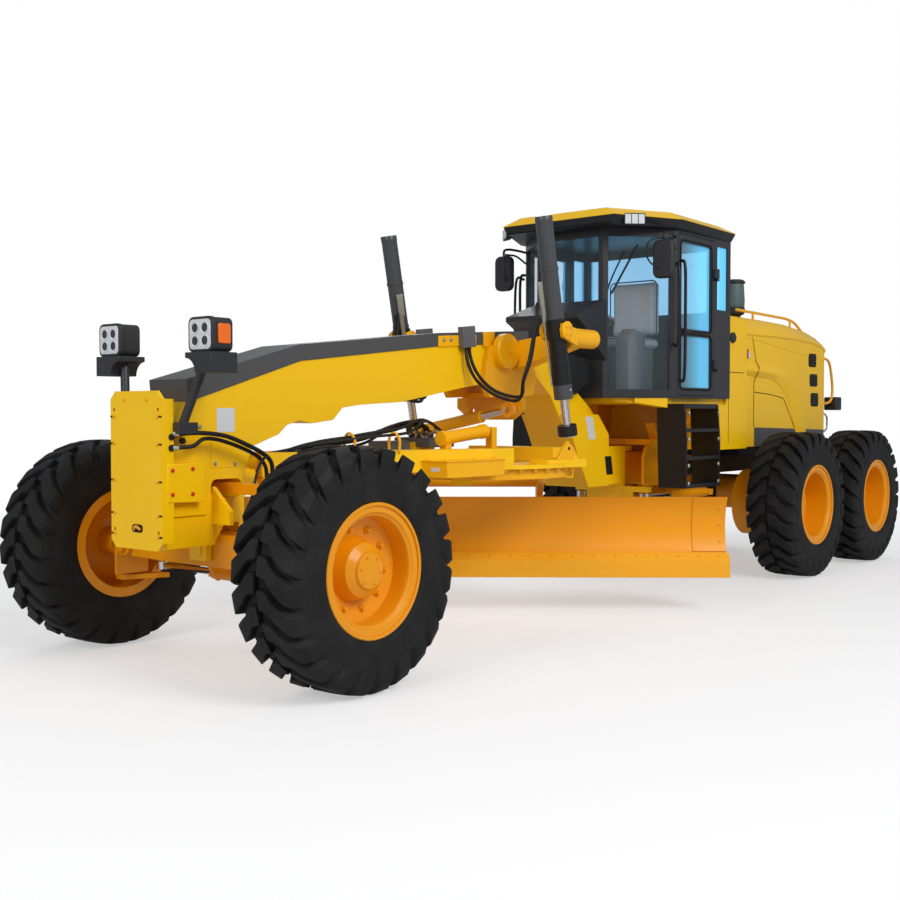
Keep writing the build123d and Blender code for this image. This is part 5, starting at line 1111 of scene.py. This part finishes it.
# %% [markdown]
# ## Seat
# The seat is foam under grey cloth. Two pads start as rounded blocks a little smaller than the space that
# they fill. A cloth simulation blows them up slightly, so that their faces crown and their edges pull in,
# and the result is applied to the mesh.

# %% Seat pads
PAD_INSET = 0.012
PAD_MODIFIERS = {"BEVEL": {"width": 0.045, "segments": 5}, "REMESH": {"mode": "VOXEL", "voxel_size": 0.009}}
SWELL_FRAMES = 20


def pad(name, low, high):
    """A block inset by 12 mm, remeshed at 9 mm, swelled by Cloth under pressure, by 12 mm at most."""
    made = rear(name, "seat", [slab(np.array(low) + PAD_INSET, np.array(high) - PAD_INSET)], flat=True)
    bpy.context.view_layer.objects.active = made
    for kind, values in PAD_MODIFIERS.items():
        step = made.modifiers.new(kind, kind)
        for key, value in values.items():
            setattr(step, key, value)
        bpy.ops.object.modifier_apply(modifier=kind)
    before, after = np.empty((2, len(made.data.vertices) * 3))
    made.data.vertices.foreach_get("co", before)
    swell = made.modifiers.new("swell", "CLOTH")
    swell.settings.use_pressure = True
    swell.settings.uniform_pressure_force = 4
    swell.settings.effector_weights.gravity = 0
    for frame_number in range(1, SWELL_FRAMES + 1):
        bpy.context.scene.frame_set(frame_number)
    shown = made.evaluated_get(bpy.context.evaluated_depsgraph_get())
    shown.data.vertices.foreach_get("co", after)
    made.modifiers.remove(swell)
    move = (after - before).reshape(-1, 3)
    length = np.linalg.norm(move, axis=1, keepdims=True)
    move *= np.minimum(1, PAD_INSET / np.maximum(length, 1e-9))
    made.data.vertices.foreach_set("co", before + move.ravel())
    bpy.context.scene.frame_set(1)
    made.data.shade_smooth()
    smooth = made.modifiers.new("smooth", "SUBSURF")
    smooth.levels = smooth.render_levels = 1
    return made


cushion = pad("seat_cushion", (-1.14, -0.26, 2.1), (-0.66, 0.26, 2.21))
pad("seat_backrest", (-1.155, -0.255, 2.211), (-1.045, 0.255, 2.74))
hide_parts("seat")
cushion_seam = np.insert(rounded_outline((-0.9, 0), (0.462, 0.502), 0.05), 2, 2.192, axis=1)
backrest_seam = np.insert(rounded_outline((0, 2.475), (0.49, 0.51), 0.05), 0, -1.052, axis=1)
rear("seat_piping", "seal", [tube(closed(seam), 0.006, reference, 8)
                             for seam, reference in ((cushion_seam, Z), (backrest_seam, X))], slot="seat")

# %% [markdown]
# ## Floor
# The floor is one broad pale sheet with the faintest unevenness. It fades out between 5.5 and 12 m from the
# middle, so that no horizon shows against the white. Part of its paleness is a glow that the camera sees
# stronger than the machine does, so the ground looks white and still hides a blade that is lowered into it.

# %% Floor
FADE_FROM, FADE_TO = 5.5, 12.0
REACH, DROP = 90.0, -0.002
floor_finish = Finish("studio_floor")
across, along = floor_finish.along("X"), floor_finish.along("Y")
distance = (across * across + along * along) ** 0.5
to_camera = Signal(floor_finish.tree, floor_finish.node("LightPath").outputs["Is Camera Ray"])
floor_finish.set(Base_Color=floor_finish.mix(floor_finish.noise(0.4), grey(0.51), grey(0.535)), Roughness=0.9)
floor_finish.set(Emission_Color=floor_finish.mix(to_camera, grey(0.16), grey(0.45)), Emission_Strength=1.0)
floor_finish.set(Alpha=1 - distance.ramp(FADE_FROM, FADE_TO))
floor_mesh = bpy.data.meshes.new("floor")
floor_corners = [(x * REACH, y * REACH, DROP) for x, y in ((-1, -1), (1, -1), (1, 1), (-1, 1))]
floor_mesh.from_pydata(floor_corners, [], [(0, 1, 2, 3)])
floor_mesh.materials.append(floor_finish.material)
linked("floor", floor_mesh)
